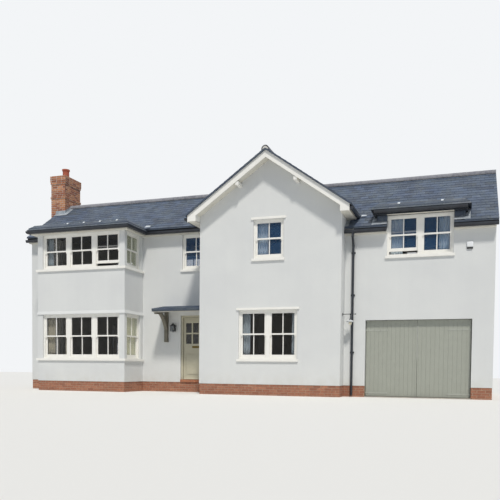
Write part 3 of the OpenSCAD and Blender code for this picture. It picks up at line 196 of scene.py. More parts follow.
def paintedRender():  # smooth cement render under masonry paint: matt, faint trowel waves, weathered foot
    material = newFinish("painted cement render", "#d2d4d4", 0.88,
                         [("#d8dad9", (1.4,)), ("#c7c9c9", (0.22, 0.0, 0.12, 0.06, 0.4))],
                         (0.002, 0.6, (0.12, 0, 1, 1, 0.8), (0.006, 0, 0.35, 1, 0.8)))
    tree = material.node_tree
    base = tree.nodes["Principled BSDF"].inputs["Base Color"]
    place = addNode(tree, "ShaderNodeTexCoord").outputs["Object"]
    height = addNode(tree, "ShaderNodeSeparateXYZ", {0: place}).outputs[2]
    feeds = {0: height, 1: dampFoot[0], 2: dampFoot[1], 3: 1.0, 4: 0.0}
    fade = addNode(tree, "ShaderNodeMapRange", feeds).outputs[0]
    feeds = {0: fade, 1: patches(tree, place, 0.25, 0.0, 0.25)}
    damp = addNode(tree, "ShaderNodeMath", feeds, operation="MULTIPLY")
    feeds = {0: damp.outputs[0], 6: base.links[0].from_socket, 7: linearColour("#b9b6a8")}
    tree.links.new(addNode(tree, "ShaderNodeMix", feeds, data_type="RGBA").outputs[2], base)
    return material


def rivenSlate(name, shades):  # split slate: each one its own blue grey, grain along its length, a little lichen
    coats = [("#5d6d7f", (0.9, 0.0, 0.25)), ("#727970", (0.05, 0.0, 0.4, 1, 0.08), (0.5, 0.0, 0.6, 1, 0.15))]
    return newFinish(name, shades, 0.62, coats, (0.0025, 0.8, (0.018, 0, 1, 0.35, 0.7, 6)),
                     {"Roughness": (0.3, 0.5, 0.75)})


def facingBrick(name, shades):  # wire-cut brick: sanded, dragged face, each one fired a little differently
    coats = [("#5d4038", (0.06, 0.0, 0.45)), ("#c99c78", (0.012, 0.0, 0.3))]
    return newFinish(name, shades, 0.85, coats, (0.0015, 1.0, (0.01, 0, 1, 0.3, 0.7)))


def beddingMortar(name, damp, dry):  # sand and cement, darker where it is damp
    return newFinish(name, damp, 0.95, [(dry, (0.15,))], (0.001, 1.0, (0.004, 0, 1, 1, 0.8)))


def glossPaint(name, colour, dusty, roughness=0.38):  # brushed gloss paint: faint brush lines, some dust
    return newFinish(name, colour, roughness, [(dusty, (0.16, 0.0, 0.35, 1, 0.35))],
                     (0.0004, 1.0, (0.006, 0, 1, 0.08, 0.8)))


def enamelledMetal(name, colour, roughness):  # stove-enamelled aluminium or steel: smooth satin, light dust
    return newFinish(name, colour, roughness, [("#4f5863", (0.2, 0.0, 0.16))],
                     (0.0002, 1.0, (0.004, 0, 1, 1, 0.8)))


def sheetLead(name, colour):  # lead sheet: soft grey with white patina runs
    return newFinish(name, colour, 0.6, [("#bcc2c8", (0.12, 0.0, 0.7, 0.4))], (0.003, 0.5, (0.08, 0, 1, 1, 0.8)),
                     Metallic=0.35)


# Panes with painted reflections: deep blue sky in the upper ones right of the bay, pale bright surroundings in
# those in the bay's right side
paintedPaneReflections = (
    ("#2e5985", ("y", "LESS_THAN", 0.0), ("x", "GREATER_THAN", -2.9), ("z", "GREATER_THAN", 3.9)),
    ("#e5e9cc", ("y", "LESS_THAN", 0.0), ("x", "GREATER_THAN", -3.57), ("x", "LESS_THAN", -3.3)),
)


def floatGlass(name, solid):  # window glass by day: near-black, painted shade of the dark rooms behind, with painted reflections in some panes
    material = newFinish(name, "#1a1812", 0.02, (), (0.002, 0.15, (0.5, 0, 1, 1, 0.9)), IOR=1.5, Alpha=solid)
    tree = material.node_tree
    place = addNode(tree, "ShaderNodeTexCoord").outputs["Object"]
    axes = dict(zip("xyz", addNode(tree, "ShaderNodeSeparateXYZ", {0: place}).outputs))
    colour = linearColour("#1a1812")
    for over, *tests in paintedPaneReflections:
        shown = 1.0
        for axis, operation, limit in tests:
            test = addNode(tree, "ShaderNodeMath", {0: axes[axis], 1: limit}, operation=operation).outputs[0]
            shown = addNode(tree, "ShaderNodeMath", {0: test, 1: shown}, operation="MULTIPLY").outputs[0]
        feeds = {0: shown, 6: colour, 7: linearColour(over)}
        colour = addNode(tree, "ShaderNodeMix", feeds, data_type="RGBA").outputs[2]
    tree.links.new(colour, tree.nodes["Principled BSDF"].inputs["Base Color"])
    return material


def hungCotton(name, colour, shaded):  # lined cotton: matt, soft sheen, a coarse weave that shows
    material = newFinish(name, colour, 0.95, [(shaded, (0.4,))], Sheen_Weight=0.25)
    tree = material.node_tree
    lines = addNode(tree, "ShaderNodeTexCoord").outputs["UV"]
    feeds = {"Vector": lines, "Scale": 90, "Distortion": 1.5}
    weave = addNode(tree, "ShaderNodeTexWave", feeds, bands_direction="Y")
    bump = addNode(tree, "ShaderNodeBump", {"Height": weave.outputs[1], "Distance": 0.001, "Strength": 0.4})
    tree.links.new(bump.outputs[0], tree.nodes["Principled BSDF"].inputs["Normal"])
    return material


setCamera()
setLight()
layFloor()
finishes = {
    "render": paintedRender(),
    "slate": rivenSlate("riven slate", ["#363f4f", "#3c4759", "#404c61", "#465368", "#4d5a71", "#3e4858"]),
    "kerb": rivenSlate("riven slate of the kerbs", ["#3f454e", "#4b515b", "#5a606a", "#464c56", "#666b74"]),
    # blue-grey fired clay: dull, with pale weathered patches
    "ridge": newFinish("fired clay ridge", ["#6c6d76", "#84858d"], 0.78, [("#a3a3a2", (0.09, 0.0, 0.35, 1, 0.2))],
                       (0.0015, 1.0, (0.02, 0, 1, 1, 0.8))),
    "plinthBrick": facingBrick("red facing brick", ["#9c604b", "#87503f", "#ad735a", "#935a47", "#a46a52"]),
    "stackBrick": facingBrick("tan facing brick",
                              ["#934a2f", "#743a27", "#cd9168", "#ac6642", "#7e412b", "#cf9a72"]),
    "stepBrick": facingBrick("orange paving brick", ["#b5663f", "#a35634", "#bd7048"]),
    "mortar": beddingMortar("sandy brick mortar", "#978370", "#b3a08b"),
    "bedding": beddingMortar("pale ridge mortar", "#bfbdb7", "#dad8d2"),
    "white": glossPaint("white gloss paint", "#eeede8", "#e0ded6"),
    "cream": glossPaint("cream gloss paint", "#dcd9cf", "#c5c1b5", 0.5),
    "door": glossPaint("stone-coloured gloss paint", "#bbb7a2", "#a8a48f", 0.42),
    "garage": glossPaint("sage-grey gloss paint", "#9da096", "#94978d", 0.45),
    "strap": glossPaint("worn grey paint on iron", "#aaada4", "#8f928a", 0.5),
    "enamel": glossPaint("grey vitreous enamel", "#c6cace", "#a9adb0", 0.25),
    # oak gone grey outside: long open grain, matt
    "oak": newFinish("weathered oak", "#535047", 0.8,
                     [("#7e796b", (0.012, 0, 1, 0.06, 0.5, 6)), ("#89867c", (0.3, 0.0, 0.5))],
                     (0.002, 1.0, (0.012, 0, 1, 0.06, 0.5, 6))),
    "felt": enamelledMetal("black eaves felt", "#141517", 0.8),
    "gutter": enamelledMetal("black enamelled aluminium", "#1c2028", 0.35),
    "lampMetal": enamelledMetal("black powder-coated steel", "#17181a", 0.4),
    # dark drip of the porch: partly painted shade under the slates' overhang
    "drip": enamelledMetal("drip edge and painted shade", "#3a414b", 0.6),
    # near-black glass: painted shade of the rooms behind; the door's glass is almost opaque, painted shade of the
    # dark hall
    "glass": floatGlass("float glass", 0.26),
    "hallGlass": floatGlass("float glass of the door", 0.88),
    # thin clear glass of the lantern, a little uneven
    "pane": newFinish("clear lantern glass", "#dfe6ea", 0.03, varied={"Transmission Weight": (0.05, 0.86, 0.94)},
                      IOR=1.45),
    # cream opal glass of a lamp globe: glossy over milky
    "opal": newFinish("opal glass", "#e9dfc2", 0.12, [("#f4edd9", (0.05,))], IOR=1.5),
    "curtain": hungCotton("lined cotton", "#e6f1f8", "#cfdfe9"),
    "blind": hungCotton("cream lined cotton", "#f4efdf", "#e2dcc8"),
    # lacquered brass gone dull in its hollows
    "brass": newFinish("lacquered brass", "#6a5d36", 0.4, [("#463d26", (0.02, 0.0, 0.6))], Metallic=1.0),
    "lead": sheetLead("milled lead sheet", "#8f979f"),
    "clip": sheetLead("bright lead clip", "#cfd5da"),
    # unglazed terracotta, sooted at places
    "terracotta": newFinish("unglazed terracotta", "#ab573e", 0.8, [("#80463a", (0.1, 0.0, 0.5))],
                            (0.001, 1.0, (0.01, 0, 1, 1, 0.8))),
    # floated cement floor: matt, cloudy
    "screed": newFinish("floated cement", "#96918a", 0.9, [("#b1aba0", (0.5,))],
                        (0.001, 1.0, (0.01, 0, 1, 1, 0.8))),
    # moulded ABS cover: satin, slightly yellowed
    "plastic": newFinish("moulded ABS", "#e6e9ec", 0.45, [("#d6d8d8", (0.15, 0, 0.5))]),
}
print("finishes made:", len(finishes))


# Rows of one piece, laid by Geometry Nodes: slates, ridge tiles, bricks and boards
rowInputs = {
    "Piece": "Object", "Finish": "Material", "Columns": "Int", "Rows": "Int", "Step across": "Float",
    "Step up": "Float", "Shift of odd rows": "Float", "Tilt": "Float", "Uneven tilt": "Float",
    "Uneven turn": "Float", "Uneven place": "Float", "Seed": "Int",
}
rowMaths = (  # name, operation, first value, second value
    ("counted", "ADD", "index", 0.25), ("share", "DIVIDE", "counted", "Columns"), ("row", "FLOOR", "share", 0.0),
    ("before", "MULTIPLY", "row", "Columns"), ("column", "SUBTRACT", "index", "before"),
    ("odd", "MODULO", "row", 2.0), ("shift", "MULTIPLY", "odd", "Shift of odd rows"),
    ("along", "MULTIPLY", "column", "Step across"), ("across", "ADD", "along", "shift"),
    ("x", "ADD", "across", "draw 1"), ("up", "MULTIPLY", "row", "Step up"), ("y", "ADD", "up", "draw 2"),
    ("count", "MULTIPLY", "Columns", "Rows"), ("lean", "ADD", "Tilt", "draw 3"),
)


def rowTree():
    tree = bpy.data.node_groups.new("rows of pieces", "GeometryNodeTree")
    for name, kind in rowInputs.items():
        tree.interface.new_socket(name, in_out="INPUT", socket_type="NodeSocket" + kind)
    tree.interface.new_socket("Laid", in_out="OUTPUT", socket_type="NodeSocketGeometry")
    given = addNode(tree, "NodeGroupInput").outputs
    found = {name: given[name] for name in rowInputs}
    found["index"] = addNode(tree, "GeometryNodeInputIndex").outputs[0]
    for draw, reach in enumerate(("Uneven place", "Uneven place", "Uneven tilt", "Uneven turn"), 1):
        seed = addNode(tree, "ShaderNodeMath", {0: given["Seed"], 1: draw}, operation="ADD").outputs[0]
        low = addNode(tree, "ShaderNodeMath", {0: given[reach], 1: -1.0}, operation="MULTIPLY").outputs[0]
        drawn = addNode(tree, "FunctionNodeRandomValue", {2: low, 3: given[reach], "Seed": seed})
        found["draw %d" % draw] = drawn.outputs[1]
    for name, operation, first, second in rowMaths:
        feeds = {0: found.get(first, first), 1: found.get(second, second)}
        found[name] = addNode(tree, "ShaderNodeMath", feeds, operation=operation).outputs[0]
    spot = addNode(tree, "ShaderNodeCombineXYZ", {0: found["x"], 1: found["y"]}).outputs[0]
    points = addNode(tree, "GeometryNodePoints", {"Count": found["count"], "Position": spot}).outputs[0]
    piece = addNode(tree, "GeometryNodeObjectInfo", {"Object": given["Piece"], "As Instance": True})
    turn = addNode(tree, "ShaderNodeCombineXYZ", {0: found["lean"], 2: found["draw 4"]}).outputs[0]
    laid = addNode(tree, "GeometryNodeInstanceOnPoints",
                   {"Points": points, "Instance": piece.outputs["Geometry"], "Rotation": turn})
    tone = addNode(tree, "FunctionNodeRandomValue", {"Seed": given["Seed"]}).outputs[1]
    feeds = {"Geometry": laid.outputs[0], "Name": "tone", "Value": tone}
    toned = addNode(tree, "GeometryNodeStoreNamedAttribute", feeds, data_type="FLOAT", domain="INSTANCE")
    real = addNode(tree, "GeometryNodeRealizeInstances", {"Geometry": toned.outputs[0]})
    finished = addNode(tree, "GeometryNodeSetMaterial", {"Geometry": real.outputs[0], "Material": given["Finish"]})
    addNode(tree, "NodeGroupOutput", {0: finished.outputs[0]})
    return tree


rowsOfPieces = rowTree()


def laidRows(piece, finish, columns, rows, across, up=0.0, shift=0.0, tilt=0.0, wobble=(0, 0, 0), seed=1):
    holder = bpy.data.objects.new("rows", bpy.data.meshes.new("rows"))
    scene.collection.objects.link(holder)
    modifier = holder.modifiers.new("rows", "NODES")
    modifier.node_group = rowsOfPieces
    sizes = [float(value) for value in (across, up, shift, tilt, *wobble)]
    values = dict(zip(rowInputs, [piece, finish, columns, rows, *sizes, seed]))
    for socket in rowsOfPieces.interface.items_tree:
        if socket.in_out == "INPUT":
            modifier[socket.identifier] = values[socket.name]
    graph = bpy.context.evaluated_depsgraph_get()
    laid = holder.evaluated_get(graph)
    mesh = bpy.data.meshes.new_from_object(laid, preserve_all_data_layers=True, depsgraph=graph)
    bpy.data.objects.remove(holder)
    return mesh


# Mesh tools
def at(x=0.0, y=0.0, z=0.0):
    return Vector((x, y, z))


ways = {"left": at(-1), "right": at(1), "front": at(0, -1), "back": at(0, 1),
        "down": at(0, 0, -1), "up": at(0, 0, 1)}
upright = Matrix(((1, 0, 0), (0, 0, -1), (0, 1, 0))).to_4x4()


def beyond(way, value):  # a cut that takes away what lies further that way than the value
    return ways[way] * sum(ways[way]) * value, ways[way]


def framed(origin, across, up):
    return Matrix.Translation(origin) @ Matrix((across, up, across.cross(up))).transposed().to_4x4()


def around(count):
    return [(math.cos(a), math.sin(a)) for a in (2 * math.pi * k / count for k in range(count))]


def addBlock(form, low, high, bevel=0.0):
    spots = [(x, y, z) for z in (low[2], high[2]) for y in (low[1], high[1]) for x in (low[0], high[0])]
    corners = [form.verts.new(spot) for spot in spots]
    sides = [(0, 2, 3, 1), (4, 5, 7, 6), (0, 1, 5, 4), (2, 6, 7, 3), (0, 4, 6, 2), (1, 3, 7, 5)]
    faces = [form.faces.new([corners[i] for i in side]) for side in sides]
    if bevel:
        edges = list({edge for face in faces for edge in face.edges})
        bmesh.ops.bevel(form, geom=edges, offset=bevel, segments=1, affect="EDGES")


def addLoft(form, rings, caps=True):
    loops = [[form.verts.new(point) for point in ring] for ring in rings]
    count = len(loops[0])
    for below, above in zip(loops, loops[1:]):
        for i in range(count):
            j = (i + 1) % count
            form.faces.new((below[i], below[j], above[j], above[i]))
    if caps:
        form.faces.new(loops[0][::-1])
        form.faces.new(loops[-1])


def addTube(form, path, radius, sides=10):
    start, end = (Vector(point) for point in path)
    ahead = (end - start).normalized()
    side = ahead.cross(ways["up"] if abs(ahead.z) < 0.9 else ways["back"]).normalized()
    up = side.cross(ahead)
    addLoft(form, [[point + (side * x + up * y) * radius for x, y in around(sides)] for point in (start, end)])


def addTurned(form, centre, profile, sides=24):
    x, y, z = centre
    addLoft(form, [[(x + r * u, y + r * v, z + up) for u, v in around(sides)] for r, up in profile])


def meshOf(form, name="part"):
    bmesh.ops.recalc_face_normals(form, faces=form.faces)
    mesh = bpy.data.meshes.new(name)
    form.to_mesh(mesh)
    form.free()
    return mesh


def patternPiece(name, form):  # stays unlinked: it is only instanced
    return bpy.data.objects.new(name, meshOf(form, name))


def placed(mesh, matrix=None, cuts=()):
    form = bmesh.new()
    form.from_mesh(mesh)
    if matrix is not None:
        form.transform(matrix)
        if matrix.determinant() < 0:
            bmesh.ops.reverse_faces(form, faces=form.faces)
    for point, outward in cuts:
        whole = form.verts[:] + form.edges[:] + form.faces[:]
        cut = bmesh.ops.bisect_plane(form, geom=whole, plane_co=point, plane_no=outward, clear_outer=True)
        rims = [edge for edge in cut["geom_cut"] if isinstance(edge, bmesh.types.BMEdge)]
        if rims:
            bmesh.ops.edgeloop_fill(form, edges=rims)
    made = bpy.data.meshes.new(mesh.name)
    form.to_mesh(made)
    form.free()
    return made


def mirrored(mesh):
    return placed(mesh, Matrix.Scale(-1, 4, (0, 1, 0)))


def joined(name, meshes):
    points, loops, starts, tones, first = [], [], [], [], 0
    for mesh in meshes:
        count = len(mesh.vertices)
        spots, tone = np.empty(count * 3, np.float32), np.full(count, 0.5, np.float32)
        corners, sizes = np.empty(len(mesh.loops), np.int32), np.empty(len(mesh.polygons), np.int32)
        mesh.vertices.foreach_get("co", spots)
        mesh.loops.foreach_get("vertex_index", corners)
        mesh.polygons.foreach_get("loop_total", sizes)
        if "tone" in mesh.attributes and len(mesh.attributes["tone"].data) == count:
            mesh.attributes["tone"].data.foreach_get("value", tone)
        points.append(spots.reshape(-1, 3))
        loops.append(corners + first)
        starts.append(sizes)
        tones.append(tone)
        first += count
    corners, sizes = np.concatenate(loops), np.concatenate(starts)
    faces = [corners[end - size:end].tolist() for end, size in zip(np.cumsum(sizes), sizes)]
    made = bpy.data.meshes.new(name)
    made.from_pydata(np.concatenate(points).tolist(), [], faces)
    made.attributes.new("tone", "FLOAT", "POINT").data.foreach_set("value", np.concatenate(tones))
    return made


def piece(name, forms, finish, slot, body="house", replaces=(), smooth=False, both=False):  # both: front and rear
    parts = [meshOf(part) if isinstance(part, bmesh.types.BMesh) else part
             for part in (forms if isinstance(forms, list) else [forms])]
    if both:
        parts.append(mirrored(joined("part", parts)))
    mesh = joined(name, parts) if both or isinstance(forms, list) else parts[0]
    mesh.materials.clear()
    mesh.materials.append(finishes[finish])
    if smooth:
        mesh.shade_smooth()
    made = bpy.data.objects.new(name, mesh)
    scene.collection.objects.link(made)
    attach(made, body)
    if replaces:
        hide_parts(*replaces)
    return made


# Lines of the house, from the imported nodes
pitch = math.radians(35)
slope = math.tan(pitch)
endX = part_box("end_walls")[1].x
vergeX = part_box("front_roof")[1].x
rangeWall, garageWall, wingWall, bayWall = (-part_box(name)[0].y for name in (
    "range_wall_left", "garage_piers", "wing_front_wall", "bay_front_wall"))
bayLeft, bayRight, wingLeft, wingRight, dormerLeft, dormerRight = (
    corner.x for name in ("bay_front_wall", "wing_front_wall", "dormer_cheeks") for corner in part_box(name))
bayX, wingX, dormerX = (bayLeft + bayRight) / 2, (wingLeft + wingRight) / 2, (dormerLeft + dormerRight) / 2
wingVerge = -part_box("wing_roof_left")[0].y
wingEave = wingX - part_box("wing_roof_left")[0].x
ridgeZ, wingRidgeZ, flatZ = (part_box(name)[1].z for name in ("front_roof", "wing_roof_left", "bay_roof"))
eaveOut = -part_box("front_roof")[0].y - garageWall
mainEave, garageEave = rangeWall + eaveOut, garageWall + eaveOut
ridgeStep = (wingRidgeZ - ridgeZ) / slope
turn = wingEave - ridgeStep  # where the valley leaves the wing's eave
flatBack = -(ridgeZ - flatZ) / slope
stackLow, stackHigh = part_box("chimney_stack")


def roofZ(distance):
    return ridgeZ - slope * distance


def wingRoofZ(distance):
    return wingRidgeZ - slope * distance


# Slates: each tail lies on the row below
slates = {
    "width": 0.25,
    "gauge": 0.2,
    "eaveLength": 0.14,
    "lap": 0.065,
    "thick": 0.008,
    "joint": 0.005,
    "bevel": 0.0015,
    "clear": 0.001,  # of the roof below
    "eaveShift": 0.1,  # of the short course under the eave
    "eaveLift": 0.002,
    "uneven": (0.006, 0.007, 0.0025),  # tilt and turn in radians, place
    "valleyGap": 0.03,
    "ridgeGap": 0.012,
}
slateTilt = math.asin(slates["thick"] / slates["gauge"])
slateLength = slates["gauge"] + slates["lap"]


def slatePiece(name, length):
    form = bmesh.new()
    half = (slates["width"] - slates["joint"]) / 2
    addBlock(form, (-half, 0, 0), (half, length, slates["thick"]), slates["bevel"])
    return patternPiece(name, form)


wholeSlate = slatePiece("slate", slateLength)
eaveSlate = slatePiece("eave slate", slates["eaveLength"])


def slateField(corner, across, up, width, height, cuts, seed):
    outward = across.cross(up)
    rows = max(1, round(height / slates["gauge"]))
    start = corner - across * slates["width"] / 2
    lift = slateLength * math.sin(slateTilt) + slates["clear"]
    sizes = {"columns": math.ceil(width / slates["width"]) + 1, "across": slates["width"],
             "wobble": slates["uneven"], "seed": seed}
    laid = laidRows(wholeSlate, finishes["slate"], rows=rows, up=height / rows, shift=slates["width"] / 2,
                    tilt=-slateTilt, **sizes)
    under = laidRows(eaveSlate, finishes["slate"], rows=1, **sizes)
    fields = [placed(laid, framed(start + outward * lift, across, up), cuts)]
    if height > slates["gauge"]:
        nudge = across * slates["eaveShift"] + outward * slates["eaveLift"]
        fields.append(placed(under, framed(start + nudge, across, up), cuts))
    return fields


def slopeVectors(facing):
    level, inward = {"front": ("right", "back"), "left": ("front", "right"), "right": ("back", "left")}[facing]
    return ways[level], ways[inward] * math.cos(pitch) + ways["up"] * math.sin(pitch)


def layMainSlates():
    level, up = slopeVectors("front")
    gap = slates["valleyGap"] * math.sqrt(2)
    ridgeCut = beyond("back", -slates["ridgeGap"])
    leftValley = (at(wingX - ridgeStep - gap), at(1, -1))
    rightValley = (at(wingX + ridgeStep + gap), at(-1, -1))
    front = slateField(at(-vergeX, -mainEave, roofZ(mainEave)), level, up, vergeX + wingX,
                       mainEave / math.cos(pitch), [beyond("left", -vergeX), leftValley, ridgeCut], 3)
    corner = at(wingX + ridgeStep, -garageEave, roofZ(garageEave))
    for cuts in ([rightValley, ridgeCut, beyond("right", dormerLeft)],
                 [ridgeCut, beyond("right", vergeX), beyond("left", dormerRight)],
                 [ridgeCut, beyond("left", dormerLeft), beyond("right", dormerRight), beyond("front", flatBack)],
                 [beyond("back", -turn), beyond("left", wingRight + 0.004), (rightValley[0], -rightValley[1])]):
        front += slateField(corner, level, up, vergeX - corner.x, garageEave / math.cos(pitch), cuts, 5)
    piece("main_slates_front", front, "slate", "slate")
    piece("main_slates_rear", [mirrored(joined("part", front))], "slate", "slate")


def layWingSlates():
    gap = slates["valleyGap"] * math.sqrt(2)
    for name, way, start, seed in (("left", -1, 0.0, 7), ("right", 1, -wingVerge, 9)):
        cuts = [beyond("front", -wingVerge), beyond("back", 0.0),
                (at(wingX + way * (ridgeStep - gap)), at(way, 1)),
                (at(wingX + way * slates["ridgeGap"]), at(-way))]
        half = slateField(at(wingX + way * wingEave, start, wingRoofZ(wingEave)), *slopeVectors(name), wingVerge,
                          wingEave / math.cos(pitch), cuts, seed)
        piece("wing_slates_" + name, half, "slate", "slate", both=True)


# Kerbs: one course of slates round each flat roof, hanging over the gutter and mitred at the corners
kerb = {
    "rise": 0.19,
    "hang": 0.035,  # beyond the edge of the flat roof
    "edge": 0.1,  # height of the roof's own sloping edge
    "over": 0.012,  # top of the slates over the roof
}
kerbRun = kerb["edge"] / slope + kerb["hang"]
kerbLength = math.hypot(kerbRun, kerb["rise"])


def kerbSlates(low, high, back, seed):
    out, foot = kerb["hang"], high.z - kerb["rise"]
    left, right, front = low.x - out, high.x + out, low.y - out
    lean, lift = kerbRun / kerbLength, kerb["rise"] / kerbLength
    mitres = [(at(left, front), at(-1, 1)), (at(right, front), at(1, 1))]
    laid = slateField(at(left, front, foot), ways["right"], at(0, lean, lift), right - left, kerbLength, mitres,
                      seed)
    for x, way, start in ((left, 1, back), (right, -1, front)):
        cuts = [(at(x, front), at(way, -1)), beyond("back", back)]
        laid += slateField(at(x, start, foot), at(0, -way), at(way * lean, 0, lift), back - front, kerbLength,
                           cuts, seed + 1)
    return [placed(mesh, None, [beyond("up", high.z + kerb["over"])]) for mesh in laid]


def layKerbs():
    piece("bay_kerb_slates", kerbSlates(*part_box("bay_roof"), 0.02 - mainEave, 11), "kerb", "slate")
    piece("dormer_kerb_slates", kerbSlates(*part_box("dormer_roofs"), flatBack, 13), "kerb", "slate", both=True)


# Porch: three courses at a low pitch
porchSlope = math.radians(10)


def layPorchSlates():
    low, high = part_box("porch_roof")
    deep = high.y - low.y
    cuts = [(low, ways["left"]), (high, ways["right"]), (high - at(0, 0.01), ways["back"])]
    laid = slateField(at(low.x, low.y, high.z - deep * math.tan(porchSlope)), ways["right"],
                      at(0, math.cos(porchSlope), math.sin(porchSlope)), high.x - low.x,
                      deep / math.cos(porchSlope), cuts, 17)
    piece("porch_slates", laid, "slate", "slate")


layMainSlates()
layWingSlates()
layKerbs()
layPorchSlates()
print("slates laid")


# Ridge: half-round tiles butted on a mortar bed
ridge = {
    "outer": 0.118,
    "shell": 0.014,
    "drop": 0.028,  # centre of the round below the slates
    "mainUp": 0.012,
    "flank": 0.018,
    "length": 0.45,
    "joint": 0.008,
    "uneven": (0.0, 0.004, 0.0015),
    "bedIn": 0.034,  # face of the bed behind that of the tiles
    "bedFlank": 0.058,
    "bedShort": 0.004,  # at each end
}


def ridgeOutline(radius, flank):
    arc = [(radius * math.cos(a), radius * math.sin(a)) for a in (math.pi * k / 16 for k in range(17))]
    return [(radius, -flank)] + arc + [(-radius, -flank)]


def ridgeTile():
    form = bmesh.new()
    outer = ridgeOutline(ridge["outer"], ridge["flank"])
    ring = outer + ridgeOutline(ridge["outer"] - ridge["shell"], ridge["flank"])[::-1]
    ends = (0.0, ridge["length"] - ridge["joint"])
    addLoft(form, [[(x, y, z) for y, z in ring] for x in ends], caps=False)
    for x in ends:
        corners = [vert for vert in form.verts if abs(vert.co.x - x) < 1e-6]
        for i in range(len(outer) - 1):
            form.faces.new((corners[i], corners[i + 1], corners[-2 - i], corners[-1 - i]))
    return patternPiece("ridge tile", form)


def layRidge():
    tiles, beds, tile = [], [], ridgeTile()
    main = Matrix.Translation((0, 0, ridgeZ - ridge["drop"] + ridge["mainUp"]))
    wing = Matrix.Translation((wingX, 0, wingRidgeZ - ridge["drop"])) @ Matrix.Rotation(math.pi / 2, 4, "Z")
    profile = ridgeOutline(ridge["outer"] - ridge["bedIn"], ridge["bedFlank"]) + [(0.0, 0.0)]
    for seed, (start, end, spot) in enumerate((
            (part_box("ridge_tiles")[0].x, wingX - ridgeStep, main), (wingX + ridgeStep, vergeX, main),
            (-wingVerge, wingVerge, wing))):
        length = end - start
        count = max(1, round(length / ridge["length"]))
        spot = spot @ Matrix.Translation((start, 0, 0))
        tiles.append(placed(laidRows(tile, finishes["ridge"], count, 1, length / count, wobble=ridge["uneven"],
                                     seed=seed), spot))
        bed = bmesh.new()
        addLoft(bed, [[(x, y, z) for y, z in profile] for x in (ridge["bedShort"], length - ridge["bedShort"])])
        beds.append(placed(meshOf(bed), spot))
    piece("ridge_tiles_laid", tiles, "ridge", "ridge_clay", replaces=("ridge_tiles",))
    piece("ridge_bedding", beds, "bedding", "ridge_clay")


layRidge()
print("ridge laid")


# Brickwork: the faces of single bricks on a mortar core, in stretcher bond
brick = {
    "length": 0.215,
    "joint": 0.01,
    "proud": 0.004,
    "bevel": 0.002,
    "course": 0.075,
    "stackCourse": 0.08,
    "setBack": 0.015,  # plinth behind the render
    "uneven": (0.003, 0.003, 0.001),
}


def brickPiece(name, course):
    form = bmesh.new()
    half, proud = brick["joint"] / 2, brick["proud"]
    addBlock(form, (half, half, -proud), (brick["length"] + half, course - half, proud), brick["bevel"])
    return patternPiece(name, form)


plinthBrick = brickPiece("plinth brick", brick["course"])
stackBrick = brickPiece("stack brick", brick["stackCourse"])


def brickFace(form, finish, course, corner, across, width, height, ends, seed):
    step = brick["length"] + brick["joint"]
    rows = math.ceil(height / course - 0.01)
    laid = laidRows(form, finishes[finish], math.ceil(width / step) + 2, rows, step, course, step / 2,
                    wobble=brick["uneven"], seed=seed)
    start = corner + at(0, 0, height - rows * course) - across * step * 0.75
    cuts = [(corner - across * ends[0], -across), (corner + across * (width + ends[1]), across),
            (corner, ways["down"])]
    return placed(laid, framed(start, across, ways["up"]), cuts)


def layPlinth():
    back = brick["setBack"]
    end, bay, wing, main, garage = (line - back for line in (endX, bayWall, wingWall, rangeWall, garageWall))
    left, right, bayL, bayR = wingLeft + back, wingRight - back, bayLeft + back, bayRight - back
    doorway = [corner.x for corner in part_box("garage_frame")]
    low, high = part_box("chimney_breast")
    breast, rear, fore = low.x + back, high.y - back, low.y + back
    path = [(doorway[1], -garage), (end, -garage), (end, garage), (right, garage), (right, wing), (left, wing),
            (left, main), (-end, main), (-end, rear), (breast, rear), (breast, fore), (-end, fore), (-end, -main),
            (bayL, -main), (bayL, -bay), (bayR, -bay), (bayR, -main), (left, -main), (left, -wing), (right, -wing),
            (right, -garage), (doorway[0], -garage)]
    corners = [at(x, y) for x, y in path]
    steps = [after - before for before, after in zip(corners, corners[1:])]
    turns = [brick["proud"] if one.cross(two).z > 0 else 0.0 for one, two in zip(steps, steps[1:])]
    turns = [0.0] + turns + [0.0]
    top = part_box("plinth_along_front")[1].z
    faces = [brickFace(plinthBrick, "plinthBrick", brick["course"], corner, step.normalized(), step.length, top,
                       turns[i:i + 2], 20 + i) for i, (corner, step) in enumerate(zip(corners, steps))]
    piece("plinth_bricks", faces, "plinthBrick", "brick")


# Front step: a row of bricks on edge over their bed
step = {
    "joint": 0.005,
    "brick": 0.07,
    "bevel": 0.004,
    "uneven": (0.0, 0.004, 0.001),
    "bedIn": (0.004, 0.005),  # from the sides and top, from the front and back
}


def layStep():
    low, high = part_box("brick_step")
    size, (aside, ahead) = high - low, step["bedIn"]
    form, bed = bmesh.new(), bmesh.new()
    addBlock(form, (step["joint"], 0, -size.y), (step["brick"], size.z, 0), step["bevel"])
    count = round(size.x / brick["course"])
    laid = laidRows(patternPiece("edge brick", form), finishes["stepBrick"], count, 1, size.x / count,
                    wobble=step["uneven"], seed=31)
    addBlock(bed, low + at(aside, ahead), high - at(aside, ahead, aside))
    piece("step_bricks", [placed(laid, Matrix.Translation(low) @ upright)], "stepBrick", "brick",
          replaces=("brick_step",))
    piece("step_bedding", bed, "mortar", "brick")


# Chimney stack over the roof, with its string course and corbelled cap
stack = {
    "string": 0.29,  # above the main ridge
    "cap": 0.85,
    "corbel": 0.01,
    "capCourses": 4,
    "flaunching": 0.06,
    "potReach": 0.16,
    "clear": 0.0006,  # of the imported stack's face
}
stackRim = stack["corbel"] * (stack["capCourses"] - 1)


def squareRing(low, high, z):
    return [(low.x, low.y, z), (high.x, low.y, z), (high.x, high.y, z), (low.x, high.y, z)]


